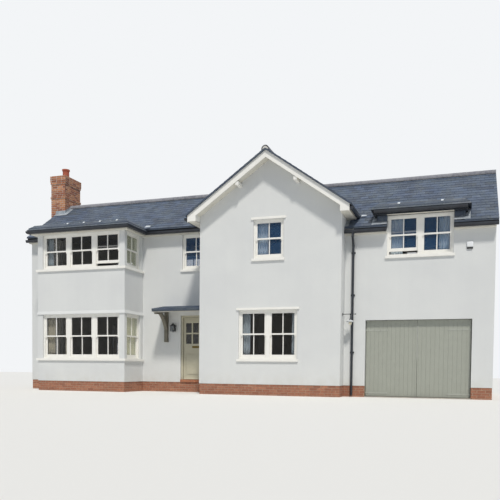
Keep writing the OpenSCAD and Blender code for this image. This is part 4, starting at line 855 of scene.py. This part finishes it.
def layStack():
    course, corbel, proud = brick["stackCourse"], stack["corbel"], brick["proud"]
    rim = at(stackRim + stack["clear"], stackRim + stack["clear"])
    low, high = stackLow + rim, stackHigh - rim
    stringZ, capZ = ridgeZ + stack["string"], ridgeZ + stack["cap"]
    bands = [(low.z, stringZ, 0.0), (stringZ, stringZ + course, corbel * 2), (stringZ + course, capZ, 0.0)]
    bands += [(capZ + i * course, capZ + (i + 1) * course, min(corbel * (i + 2), stackRim))
              for i in range(stack["capCourses"])]
    faces, rings = [], []
    for i, (bottom, top, out) in enumerate(bands):
        reach = at(out - proud, out - proud)
        rings += [squareRing(low - reach, high + reach, z) for z in (bottom, top)]
        corners = [Vector(spot) for spot in rings[-2]]
        for j, corner in enumerate(corners):
            side = corners[(j + 1) % 4] - corner
            faces.append(brickFace(stackBrick, "stackBrick", course, corner, side.normalized(), side.length,
                                   top - bottom, (proud, proud), 40 + i * 7 + j * 3))
    middle, reach = (low + high) / 2, at(stack["potReach"], stack["potReach"])
    rings.append(squareRing(middle - reach, middle + reach, bands[-1][1] + stack["flaunching"]))
    core = bmesh.new()
    addLoft(core, rings)
    piece("stack_bricks", faces, "stackBrick", "brick", replaces=("chimney_stack",))
    piece("stack_core", core, "bedding", "brick")


layPlinth()
layStep()
layStack()
print("brickwork laid")


# Garage doors: V-jointed boards on ledges, with a strip down the meeting edge and bolts through the straps
garageDoor = {
    "boards": 12,
    "thick": 0.045,
    "chamfer": 0.004,
    "gap": 0.0006,
    "strip": 0.04,
    "stripThick": 0.008,
    "ledge": 0.12,
    "ledgeBevel": 0.006,
    "stripBevel": 0.003,
    "ledgeIn": (0.095, 0.02),  # from the hinges and from the meeting edge
    "strapHalf": 0.0225,
    "bolts": (0.12, 0.37, 0.65, 0.93),  # along a strap
    "boltRadius": 0.009,
    "boltRings": ((1, 0), (1, 0.007), (0.75, 0.011), (0.3, 0.013)),  # share of the radius, depth
    "boltIn": 0.012,  # root of a bolt behind the strap's face
}


def hangGarageDoor(side, seed):
    node, body = "garage_door_" + side, side + "_garage_door"
    low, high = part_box(node)
    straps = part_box("garage_straps_" + side)
    width, thick = (high.x - low.x) / garageDoor["boards"], garageDoor["thick"]
    cut, gap = garageDoor["chamfer"], garageDoor["gap"] / 2
    outline = [(gap, -thick), (width - gap, -thick), (width - gap, -cut), (width - cut, 0), (cut, 0), (gap, -cut)]
    board, rest, bolts = bmesh.new(), bmesh.new(), bmesh.new()
    addLoft(board, [[(x, y, z) for x, z in outline] for y in (0.0, high.z - low.z)])
    boards = laidRows(patternPiece("door board", board), finishes["garage"], garageDoor["boards"], 1, width,
                      seed=seed)
    hinge, meeting = garageDoor["ledgeIn"]
    inner = (low.x + hinge, high.x - meeting) if side == "left" else (low.x + meeting, high.x - hinge)
    half = garageDoor["strapHalf"]
    strapZ = [straps[0].z + half, (straps[0].z + straps[1].z) / 2, straps[1].z - half]
    for z in strapZ:
        addBlock(rest, (inner[0], low.y + thick, z - garageDoor["ledge"] / 2),
                 (inner[1], high.y, z + garageDoor["ledge"] / 2), garageDoor["ledgeBevel"])
    strip = (high.x - garageDoor["strip"], high.x) if side == "left" else (low.x, low.x + garageDoor["strip"])
    addBlock(rest, (strip[0], low.y - garageDoor["stripThick"], low.z), (strip[1], low.y, high.z),
             garageDoor["stripBevel"])
    hung = placed(boards, Matrix.Translation(low) @ upright)
    piece(node + "_boards", [hung, rest], "garage", "garage_paint", body, replaces=(node,))
    root, tip = (straps[0].x, straps[1].x) if side == "left" else (straps[1].x, straps[0].x)
    for z in (strapZ[0], strapZ[-1]):
        for share in garageDoor["bolts"]:
            x, radius = root + (tip - root) * share, garageDoor["boltRadius"]
            y = straps[0].y + garageDoor["boltIn"]
            addLoft(bolts, [[(x + radius * s * u, y - d, z + radius * s * v) for u, v in around(10)]
                            for s, d in garageDoor["boltRings"]])
    piece(body + "_bolts", bolts, "strap", "garage_paint", body)


hangGarageDoor("left", 61)
hangGarageDoor("right", 62)
print("garage doors hung")


# Lead: flashings dressed over the slates, valleys, flat roofs with rolls, and clips on the kerbs
lead = {
    "thick": 0.003,
    "lift": 0.024,  # over the roof plane, on top of the slates
    "lap": 0.15,
    "upstand": 0.15,
    "soaker": 0.11,
    "stackIn": 0.03,  # stepped sheets behind the stack's right face
    "stepUp": 0.02,
    "sideTop": 0.13,  # ends of the side sheet and of its steps, from the ridge
    "stepTop": 0.1,
    "overhang": 0.02,  # in front of the eave
    "valleyLift": 0.004,
    "valleyThick": 0.002,
    "porchDepth": 0.13,
    "porchLift": 0.014,
    "rollGap": 0.6,
    "rollRadius": 0.02,
}
clip = {
    "bay": (-5.5, -4.87, -4.25, -3.615),
    "dormer": (5.35, 6.55),
    "halfWidth": 0.035,
    "length": 0.07,
    "thick": 0.004,
    "lift": 0.024,  # over the kerb's slates
    "tongue": 0.09,  # on the flat roof
    "dip": 0.01,  # of the tongue's end into the slates
    "patchThick": 0.006,
    "patchLift": 0.03,
}
lightsWidth = 1.86  # both lights of a half-dormer
lightsLeft, lightsRight = dormerX - lightsWidth / 2, dormerX + lightsWidth / 2


def addSlab(form, points, thick=lead["thick"]):
    spots = [Vector(point) for point in points]
    outward = (spots[1] - spots[0]).cross(spots[2] - spots[0]).normalized()
    addLoft(form, [spots, [spot + outward * thick for spot in spots]])


def addRoofSlab(form, left, right, near, far):  # on the main slope, between two distances from the ridge
    addSlab(form, [(x, -distance, roofZ(distance) + lead["lift"] / math.cos(pitch))
                   for x, distance in ((left, near), (right, near), (right, far), (left, far))])


def addStackLead(form, face):
    edge, side, thick, end = stackHigh.x - lead["stackIn"], lead["lap"], lead["thick"], lead["stepTop"]
    addRoofSlab(form, -vergeX, edge + side, face + side, face)
    foot = roofZ(face)
    addBlock(form, (-vergeX, -face - thick - 0.001, foot), (edge, -face + 0.002, foot + lead["upstand"]), 0.001)
    addRoofSlab(form, edge, edge + side, face, lead["sideTop"])
    rise = brick["stackCourse"] / slope
    for i in range(math.ceil((face - end) / rise)):
        low = face - i * rise
        addBlock(form, (edge - 0.001, -low, roofZ(low)),
                 (edge + thick, -max(low - rise, end), roofZ(low) + lead["upstand"] + lead["stepUp"]), 0.001)


def addValleys(form):
    reach, lift = lead["lap"], at(0, 0, lead["valleyLift"])
    for way in (-1, 1):
        top = at(wingX + way * ridgeStep, 0, ridgeZ) + lift
        foot = at(wingX + way * wingEave, -turn, roofZ(turn)) + lift
        for aside in (at(way * reach), at(0, -reach)):
            quad = [top, foot, foot + aside, top + aside]
            flat = (quad[1] - quad[0]).cross(quad[2] - quad[0]).z < 0
            addSlab(form, quad[::-1] if flat else quad, lead["valleyThick"])


def layLead():
    front, rear, both = bmesh.new(), bmesh.new(), bmesh.new()
    addStackLead(front, -stackLow.y - stackRim)
    addStackLead(rear, stackHigh.y - stackRim)
    addValleys(both)
    lap, eave = lead["lap"], garageEave - lead["overhang"]
    addRoofSlab(both, wingRight, wingRight + lead["soaker"], eave, turn + 0.05)
    addRoofSlab(both, dormerLeft - lap, dormerLeft, garageWall + 0.02, -flatBack)
    addRoofSlab(both, dormerRight, dormerRight + lap, garageWall + 0.02, -flatBack)
    for near, far in ((dormerLeft - lap, lightsLeft), (lightsRight, dormerRight + lap)):
        addRoofSlab(both, near, far, eave, garageWall - 0.01)
    low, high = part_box("porch_roof")
    near, lifted = high.y - lead["porchDepth"], high.z + lead["porchLift"]
    foot = lifted - lead["porchDepth"] * math.tan(porchSlope)
    addSlab(front, [(low.x, near, foot), (high.x, near, foot), (high.x, high.y, lifted), (low.x, high.y, lifted)])
    even = meshOf(both)
    piece("lead_work", [front, mirrored(meshOf(rear)), even, mirrored(even)], "lead", "lead",
          replaces=("lead_flashings",))


def flatSheet(low, high):
    form, inset = bmesh.new(), kerb["edge"] / slope
    left, right, front = low.x + inset, high.x - inset, low.y + inset
    addBlock(form, (left, front, high.z + 0.001), (right, flatBack, high.z + 0.005), 0.001)
    count = max(1, round((right - left) / lead["rollGap"]))
    for i in range(1, count):
        x, z = left + (right - left) * i / count, high.z + 0.008
        addTube(form, [(x, front + 0.02, z), (x, flatBack - 0.01, z)], lead["rollRadius"])
    return meshOf(form)


def layClips():
    form, half, thick = bmesh.new(), at(clip["halfWidth"]), clip["thick"]
    for node, places in (("bay_roof", clip["bay"]), ("dormer_roofs", clip["dormer"])):
        low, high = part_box(node)
        edge = at(0, low.y + kerb["edge"] / slope, high.z)
        edge += at(0, -kerb["rise"], kerbRun).normalized() * clip["lift"]
        for x in places:
            top = edge + at(x)
            foot = top - at(0, kerbRun, kerb["rise"]).normalized() * clip["length"]
            addSlab(form, [foot - half, foot + half, top + half, top - half], thick)
            addBlock(form, top - half + at(0, -thick, -clip["dip"]),
                     top + half + at(0, clip["tongue"], thick), 0.001)
    # Two patches dressed over the slates: left edge, distance from the ridge, width, depth
    patched = ((bayRight + 0.2, rangeWall + 0.19, 0.2, 0.1),
               (wingX + wingEave + 0.09, garageWall - 0.33, 0.17, 0.07))
    for x, distance, wide, deep in patched:
        y, z = -distance, roofZ(distance) + clip["patchLift"]
        top = z + deep * slope
        addSlab(form, [(x, y - deep, z), (x + wide, y - deep * 0.7, z + 0.02), (x + wide * 0.9, y, top),
                       (x + wide * 0.1, y, top + 0.01)], clip["patchThick"])
    piece("lead_clips", form, "clip", "lead")


layLead()
dormerSheet = flatSheet(*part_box("dormer_roofs"))
piece("flat_roof_lead", [flatSheet(*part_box("bay_roof")), dormerSheet, mirrored(dormerSheet)], "lead", "lead")
layClips()
print("lead dressed")


# Felt under the slates, which hangs into every gutter and hides the top of the fascia
felt = {"out": 0.168, "drop": 0.125, "up": 0.004, "thick": 0.003}


def feltStrips(runs):
    form, thick = bmesh.new(), felt["thick"]
    for (x0, y0), (x1, y1), top in runs:
        addBlock(form, (min(x0, x1) - thick, min(y0, y1) - thick, top - felt["drop"]),
                 (max(x0, x1) + thick, max(y0, y1) + thick, top + felt["up"]))
    return meshOf(form)


def hangFelt():
    reach, inset = felt["out"], eaveOut - felt["out"]
    eaveZ, garageEaveZ = roofZ(mainEave), roofZ(garageEave)
    mainY, bayY, garageY = (-wall - reach for wall in (rangeWall, bayWall, garageWall))
    wingOut, end = wingEave - inset, vergeX - 0.01
    low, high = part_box("dormer_roofs")
    left, right, front = low.x + inset, high.x - inset, low.y + inset
    shared = [((wingX + wingOut, garageY), (lightsLeft, garageY), garageEaveZ),
              ((lightsRight, garageY), (end, garageY), garageEaveZ), ((left, flatBack), (left, front), eaveZ),
              ((left, front), (right, front), eaveZ), ((right, front), (right, flatBack), eaveZ)]
    shared += [((wingX + way * wingOut, -wingVerge + 0.09), (wingX + way * wingOut, mainY), wingRoofZ(wingEave))
               for way in (-1, 1)]
    corners = [(-end, mainY), (bayLeft - reach, mainY), (bayLeft - reach, bayY), (bayRight + reach, bayY),
               (bayRight + reach, mainY), (wingX - wingOut, mainY)]
    round = feltStrips([(before, after, eaveZ) for before, after in zip(corners, corners[1:])])
    both, rear = feltStrips(shared), feltStrips([(corners[0], corners[-1], eaveZ)])
    piece("eaves_felt", [both, mirrored(both), round, mirrored(rear)], "felt", "gutter_metal")


# Slate-grey drip round the edge of the porch roof, covering the front board; its dark colour is partly painted
# shade of the slates' overhang
porchDripAndShade = {"deep": 0.085, "in": 0.004, "thick": 0.008, "up": 0.005}


def edgePorch():
    low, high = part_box("porch_roof")
    form, rise = bmesh.new(), (high.y - low.y) * math.tan(porchSlope)
    outer, inner = porchDripAndShade["in"], porchDripAndShade["in"] + porchDripAndShade["thick"]
    top = high.z - rise + porchDripAndShade["up"]
    foot = top - porchDripAndShade["deep"]
    addBlock(form, (low.x + outer, low.y + outer, foot), (high.x, low.y + inner, top), 0.002)
    side = [(low.y + inner, foot), (high.y, foot + rise), (high.y, top + rise), (low.y + inner, top)]
    addLoft(form, [[(low.x + x, y, z) for y, z in side] for x in (outer, inner)])
    piece("porch_drip", form, "drip", "slate")


# Boards that close the wing's box ends towards the gable, and black boards round and under the dormer's flat roof,
# painted shade of its eave
boxEnd = {"thick": 0.018, "bottom": 5.32, "front": 3.735, "under": 0.165}
dormerShadeBoard = {"thick": 0.004, "foot": 5.314, "top": 5.35}


def closeBoxes():
    form, bottom, thick = bmesh.new(), boxEnd["bottom"], boxEnd["thick"]
    top = wingRoofZ(wingX - wingLeft) - boxEnd["under"]
    for x in (wingLeft - thick, wingRight):
        addBlock(form, (x, -boxEnd["front"], bottom), (x + thick, -wingWall, top), 0.002)
    piece("box_end_boards", form, "white", "painted_timber", both=True)


# Painted shade: black boards over the dormer's fascia and soffit, which lie in the shade of its eave
def shadeUnderDormer():
    low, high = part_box("dormer_roofs")
    form, inset = bmesh.new(), eaveOut - felt["out"] - 0.001
    thick, foot, top = dormerShadeBoard["thick"], dormerShadeBoard["foot"], dormerShadeBoard["top"]
    left, right, front = low.x + inset, high.x - inset, low.y + inset
    addBlock(form, (left, front, foot), (right, front + thick, top), 0.001)
    for x in (left, right - thick):
        addBlock(form, (x, front, foot), (x + thick, flatBack, top), 0.001)
    for near, far in ((left, lightsLeft), (lightsRight, right)):
        addBlock(form, (near, front, foot - thick), (far, flatBack, foot), 0.0005)
    piece("dormer_boards", form, "gutter", "fascia_timber", both=True)


# Cheeks of the half-dormers: hung slates
cheek = {
    "past": 0.012,  # the front wall's face
    "underRidge": 0.005,
    "overEave": 0.03,
    "underBoard": 0.01,
}


def hangCheeks():
    foot, top = (corner.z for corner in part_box("dormer_cheeks"))
    up, made = ways["up"], []
    for x, way, start, seed in ((dormerLeft, -1, flatBack, 71), (dormerRight, 1, -garageWall, 73)):
        cuts = [beyond("front", -garageWall - cheek["past"]), beyond("back", flatBack), beyond("up", top),
                (at(x, 0, ridgeZ - cheek["underRidge"]), at(0, slope, -1))]
        made += slateField(at(x, start, foot), at(0, way), up, garageWall + flatBack, top - foot, cuts, seed)
    foot = roofZ(garageWall) + cheek["overEave"]
    for near, far, seed in ((dormerLeft, lightsLeft, 75), (lightsRight, dormerRight, 77)):
        cuts = [beyond("left", near), beyond("right", far), beyond("up", boxEnd["bottom"] - cheek["underBoard"])]
        made += slateField(at(near, -garageWall, foot), ways["right"], up, far - near, top - foot, cuts, seed)
    piece("cheek_slates", made, "slate", "slate", both=True)


# Moulded drip of the render round the bay, over the ground floor windows
bayDrip = {"bottom": 2.602, "height": 0.12, "lip": 0.02, "out": 0.03}


def runDrip():
    bottom, sections = bayDrip["bottom"], []
    corners = ((-1, 0, bayLeft, rangeWall), (-1, 1, bayLeft, bayWall), (1, 1, bayRight, bayWall),
               (1, 0, bayRight, rangeWall))
    for sideways, ahead, x, wall in corners:
        inner, outer = ((x + sideways * reach, -wall - ahead * reach) for reach in (-0.002, bayDrip["out"]))
        sections.append([(*inner, bottom + bayDrip["height"]), (*outer, bottom + bayDrip["lip"]), (*outer, bottom),
                         (*inner, bottom)])
    form = bmesh.new()
    addLoft(form, sections)
    piece("bay_drip", form, "render", "render")


hangFelt()
edgePorch()
closeBoxes()
shadeUnderDormer()
hangCheeks()
runDrip()
print("eaves and cheeks dressed")


# Windows
joinery = {
    "setBack": 0.06,
    "depth": 0.11,
    "jamb": 0.056,
    "mullion": 0.124,
    "frameSill": 0.045,
    "stile": 0.05,
    "meeting": 0.045,
    "bottomRail": 0.092,
    "sashThick": 0.04,
    "hornHeight": 0.06,
    "hornShape": ((0, 0), (0, 0.35), (0.008, 0.75), (0.022, 1)),  # from the front, share of the height
    "hornIn": 0.004,
}
lowFoot, lowHead, highFoot, highHead = 1.105, 2.6, 4.145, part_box("dormer_windows")[1].z
doorX = sum(corner.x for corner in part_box("door_frame")) / 2
frontWindows = [  # centre, wall, bottom, head, width, sashes
    (bayX, bayWall, lowFoot, lowHead, 3.0, 3), (bayX, bayWall, highFoot, highHead, 3.0, 3),
    (wingX, wingWall, lowFoot, lowHead, 1.86, 2), (wingX, wingWall, highFoot, highHead, 0.955, 1),
    (doorX, rangeWall, highFoot, highHead, 0.955, 1), (dormerX, garageWall, highFoot, highHead, 1.86, 2),
]


# Horns under the meeting rails of the upper sashes
def addHorns():
    form = bmesh.new()
    jamb, stile, tall, inside = (joinery[name] for name in ("jamb", "stile", "hornHeight", "hornIn"))
    for centre, wall, foot, head, width, count in frontWindows:
        clear = (width - 2 * jamb - (count - 1) * joinery["mullion"]) / count
        low = foot + joinery["frameSill"] + joinery["bottomRail"]
        rail = low + (head - jamb - stile - joinery["meeting"] - low) / 2
        back = -wall + joinery["setBack"] + joinery["depth"] / 2
        front = back - joinery["sashThick"]
        shape = [(front + inset, rail - tall * share) for inset, share in joinery["hornShape"]]
        shape += [(back - 0.002, rail - tall), (back - 0.002, rail)]
        for i in range(count):
            left = centre - width / 2 + jamb + i * (clear + joinery["mullion"])
            right = left + clear
            for near, far in ((left + inside, left + stile), (right - stile, right - inside)):
                addLoft(form, [[(x, y, z) for y, z in shape] for x in (near, far)])
    piece("sash_horns", form, "white", "painted_timber")


# Curtains: pleated cotton, the weave of each laid out over the width it was cut to
curtains = {
    "thick": 0.003,
    "depth": 0.03,  # of a pleat at the foot
    "topShare": 0.55,  # of that depth at the rail
    "pleat": 0.075,
    "behind": 0.207,  # wall face to curtain
    "steps": 6,  # per pleat
    "levels": (0.0, 0.25, 0.5, 0.75, 0.93, 1.0),
    "slip": 0.5,
    "sway": 0.006,
    "railRadius": 0.012,
    "railDown": 0.06,  # from the head of the window
    "sideRail": 0.45,  # half the length of the bay's side rails
}


def hangCurtain(name, spot, across, width, low, high, finish, node, seed):
    draw = random.Random(seed)
    columns = max(8, round(width / curtains["pleat"]) * curtains["steps"])
    levels = [(level, draw.uniform(-curtains["slip"], curtains["slip"])) for level in curtains["levels"]]
    inward, share, grid = ways["up"].cross(across), curtains["topShare"], []
    for i in range(columns + 1):
        turns = i / columns * width / curtains["pleat"] * 2 * math.pi
        row = []
        for level, slip in levels:
            deep = curtains["depth"] * (share + (1 - share) * (1 - level))
            fold = math.sin(turns + slip * (1 - level)) * deep
            aside = width * (i / columns - 0.5) + curtains["sway"] * math.sin(turns * 0.5 + slip)
            place = spot + across * aside + inward * fold
            row.append(at(place.x, place.y, low + (high - low) * level))
        grid.append(row)
    form = bmesh.new()
    half = inward * curtains["thick"] / 2
    addLoft(form, [[point - half for point in row] + [point + half for point in reversed(row)] for row in grid])
    mesh = meshOf(form, name)
    length = sum((after[0] - before[0]).length for before, after in zip(grid, grid[1:]))
    layer = mesh.uv_layers.new(name="UVMap")
    for loop in mesh.loops:
        point = mesh.vertices[loop.vertex_index].co
        layer.data[loop.index].uv = ((point - spot).dot(across) * length / width, point.z)
    made = piece("curtain_" + name, mesh, finish, "curtain_fabric", smooth=True)
    return made


def hangCurtains():
    lower, upper = (lowFoot + 0.01, lowHead - 0.07), (highFoot + 0.01, highHead - 0.07)
    wingY, dormerY, bayY = (curtains["behind"] - wall for wall in (wingWall, garageWall, bayWall))
    sideX, sideY = bayRight - curtains["behind"], -(bayWall + rangeWall) / 2 - 0.015
    level, aside = ways["right"], ways["back"]
    plan = [("wing_left", level, wingX - 0.735, wingY, 0.27, lower, "curtain", "front_windows", 80),
            ("wing_right", level, wingX + 0.79, wingY, 0.15, lower, "curtain", "front_windows", 81),
            ("gable", level, wingX - 0.24, wingY, 0.32, upper, "curtain", "front_windows", 82),
            ("dormer_left", level, dormerX - 0.68, dormerY, 0.36, upper, "curtain", "dormer_windows", 83),
            ("dormer_right", level, dormerX + 0.69, dormerY, 0.34, upper, "curtain", "dormer_windows", 84),
            ("bay_left", level, bayX - 1.28, bayY, 0.3, lower, "blind", "bay_windows", 85),
            ("bay_middle", level, bayX - 0.6, bayY, 0.24, lower, "blind", "bay_windows", 86),
            ("bay_upper", level, bayX - 1.3, bayY, 0.22, upper, "curtain", "bay_windows", 87),
            ("bay_side", aside, sideX, sideY, 0.84, lower, "blind", "bay_windows", 95),
            ("bay_side_upper", aside, sideX, sideY - 0.3, 0.2, upper, "curtain", "bay_windows", 96)]
    made = [hangCurtain(name, at(x, y), across, width, *span, finish, node, seed)
            for name, across, x, y, width, span, finish, node, seed in plan]
    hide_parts("curtains")
    rails, thick, down, half = bmesh.new(), curtains["railRadius"], curtains["railDown"], curtains["sideRail"]
    for z in (lowHead - down, highHead - down):
        addTube(rails, [(sideX, sideY - half, z), (sideX, sideY + half, z)], thick, 8)
    for centre, wall, foot, head, width, count in frontWindows:
        y, z, half = curtains["behind"] - wall, head - down, width / 2 - 0.01
        addTube(rails, [(centre - half, y, z), (centre + half, y, z)], thick, 8)
    piece("curtain_rails", rails, "white", "painted_timber", smooth=True)


addHorns()
hangCurtains()
print("windows dressed")


# Swan-neck lamp on the wing's side wall: plate, arm with ball, hanging stem, enamelled shade, opal globe
lamp = {
    "out": 0.23,
    "reach": 0.4,
    "stem": 0.16,
    "armDown": 0.045,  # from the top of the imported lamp
    "armRadius": 0.009,
    "stemRadius": 0.011,
    "ballRadius": 0.017,
    "shadeRadius": 0.115,
    "shadeThick": 0.003,
    "globeRadius": 0.045,
    "globeDown": 0.105,
    # radius and depth
    "plate": ((0.045, 0), (0.045, 0.006), (0.034, 0.013), (0.014, 0.018)),
    "collar": ((0.018, 0.016), (0.018, -0.016)),
    "cup": ((0.024, 0.03), (0.03, 0.012), (0.03, -0.012), (0.02, -0.016)),
    "holder": [(0.02, -0.03), (0.03, -0.055)],
}


def hangLamp():
    low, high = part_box("swan_neck_lamp")
    wall, y, armZ = low.x, (low.y + high.y) / 2, high.z - lamp["armDown"]
    x, ball = wall + lamp["out"], lamp["ballRadius"]
    neck = (x, y, armZ - lamp["stem"])
    metal, shade, globe = bmesh.new(), bmesh.new(), bmesh.new()
    addLoft(metal, [[(wall + d, y + r * u, armZ + r * v) for u, v in around(20)]
                    for r, d in lamp["plate"]])
    addTube(metal, [(wall + 0.012, y, armZ), (wall + lamp["reach"] - 0.012, y, armZ)], lamp["armRadius"], 12)
    addTurned(metal, (wall + lamp["reach"] - ball, y, armZ),
              [(ball * math.sin(a) + 0.0001, -ball * math.cos(a))
               for a in (math.pi * k / 8 for k in range(9))], 16)
    addTube(metal, [(x, y, armZ + 0.012), neck], lamp["stemRadius"], 12)
    addTurned(metal, (x, y, armZ), lamp["collar"], 16)
    addTurned(metal, neck, lamp["cup"], 20)
    piece("lamp_arm", metal, "lampMetal", "lamp_metal", smooth=True)
    wide = lamp["shadeRadius"]
    outer = [(0.028, 0.0), (0.035, -0.012), (wide * 0.68, -0.028), (wide * 0.93, -0.05), (wide, -0.066)]
    addTurned(shade, neck, outer + [(r - lamp["shadeThick"], z - 0.002) for r, z in reversed(outer)], 28)
    piece("lamp_shade", shade, "enamel", "lamp_metal", smooth=True)
    radius = lamp["globeRadius"]
    profile = lamp["holder"] + [(radius * math.sin(a) + 0.0001, radius * math.cos(a) * 1.15 - lamp["globeDown"])
                                for a in (math.pi * k / 12 for k in range(4, 13))]
    addTurned(globe, neck, profile, 28)
    piece("lamp_globe", globe, "opal", "window_glass", smooth=True, replaces=("swan_neck_lamp",))


# Wall lantern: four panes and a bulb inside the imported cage
lanternGlass = {
    "in": 0.022,
    "low": 0.045,
    "high": 0.1,
    # radius, height
    "bulb": [(0.012, 0), (0.012, 0.03), (0.022, 0.05), (0.026, 0.075), (0.02, 0.1), (0.006, 0.112)],
}


def glazeLantern():
    low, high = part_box("lantern")
    half = (high.x - low.x) / 2
    x, y, reach = (low.x + high.x) / 2, low.y + half, half - lanternGlass["in"]
    glass, bulb = bmesh.new(), bmesh.new()
    for dx, dy in ((1, 0), (-1, 0), (0, 1), (0, -1)):
        mid = at(x + dx * reach, y + dy * reach)
        size = at(0.001 if dx else reach - 0.004, 0.001 if dy else reach - 0.004)
        addBlock(glass, mid - size + at(0, 0, low.z + lanternGlass["low"]),
                 mid + size + at(0, 0, high.z - lanternGlass["high"]), 0.0004)
    piece("lantern_panes", glass, "pane", "window_glass")
    addTurned(bulb, (x, y, low.z + 0.05), lanternGlass["bulb"], 16)
    piece("lantern_bulb", bulb, "opal", "window_glass", smooth=True)


# Alarm box: rounded cover on a dark base, with a small lens
alarm = {
    "baseThick": 0.012,
    "foot": 0.048,
    "lensTop": 0.026,
    # inset, depth from the front or None for the base, corner radius
    "rings": ((0.0, None, 0.02), (0.0, 0.018, 0.02), (0.006, 0.006, 0.02), (0.018, 0.0, 0.012)),
}


def fitAlarm():
    low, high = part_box("alarm_box")
    cover, base = bmesh.new(), bmesh.new()
    back, front, rings = high.y - alarm["baseThick"], low.y, []
    for inset, deep, corner in alarm["rings"]:
        y = back if deep is None else front + deep
        left, right = low.x + inset + corner, high.x - inset - corner
        foot, top = low.z + alarm["foot"] + inset + corner, high.z - inset - corner
        rings.append([(x + corner * math.cos(a), y, z + corner * math.sin(a))
                      for quarter, (x, z) in enumerate(((right, top), (left, top), (left, foot), (right, foot)))
                      for a in (math.pi / 2 * (quarter + k / 4) for k in range(5))])
    addLoft(cover, rings)
    addBlock(base, (low.x + 0.006, back, low.z), (high.x - 0.006, high.y, high.z - 0.01), 0.003)
    addBlock(base, (low.x + 0.02, front + 0.022, low.z), (high.x - 0.02, back, low.z + alarm["lensTop"]), 0.004)
    piece("alarm_cover", cover, "plastic", "alarm_plastic", replaces=("alarm_box",))
    piece("alarm_base", base, "lampMetal", "alarm_plastic")


hangLamp()
glazeLantern()
fitAlarm()
print("fittings made")


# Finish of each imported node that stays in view; the rendered walls have no entry
cadFinishes = {
    "mortar": "plinth_along_front plinth_along_back plinth_across",
    "screed": "ground_floor garage_floor first_floor",
    "slate": "front_roof rear_roof wing_roof_left wing_roof_right bay_roof dormer_roofs dormer_cheeks "
             "porch_roof",
    "white": "bargeboards purlin_ends bay_windows front_windows dormer_windows rear_windows window_sills "
             "bay_sills head_mouldings",
    "cream": "eaves_boards porch_boards",
    "gutter": "gutters downpipes",
    "glass": "window_glass",
    "hallGlass": "door_glass",
    "door": "door_frame door_leaf",
    "brass": "door_furniture",
    "oak": "porch_bracket",
    "garage": "garage_frame",
    "strap": "garage_straps_left garage_straps_right",
    "terracotta": "chimney_pot",
    "lampMetal": "lantern",
}
finishOf = {name: finish for finish, names in cadFinishes.items() for name in names.split()}
for name, node in nodes.items():
    node.data.materials.clear()
    node.data.materials.append(finishes[finishOf.get(name, "render")])
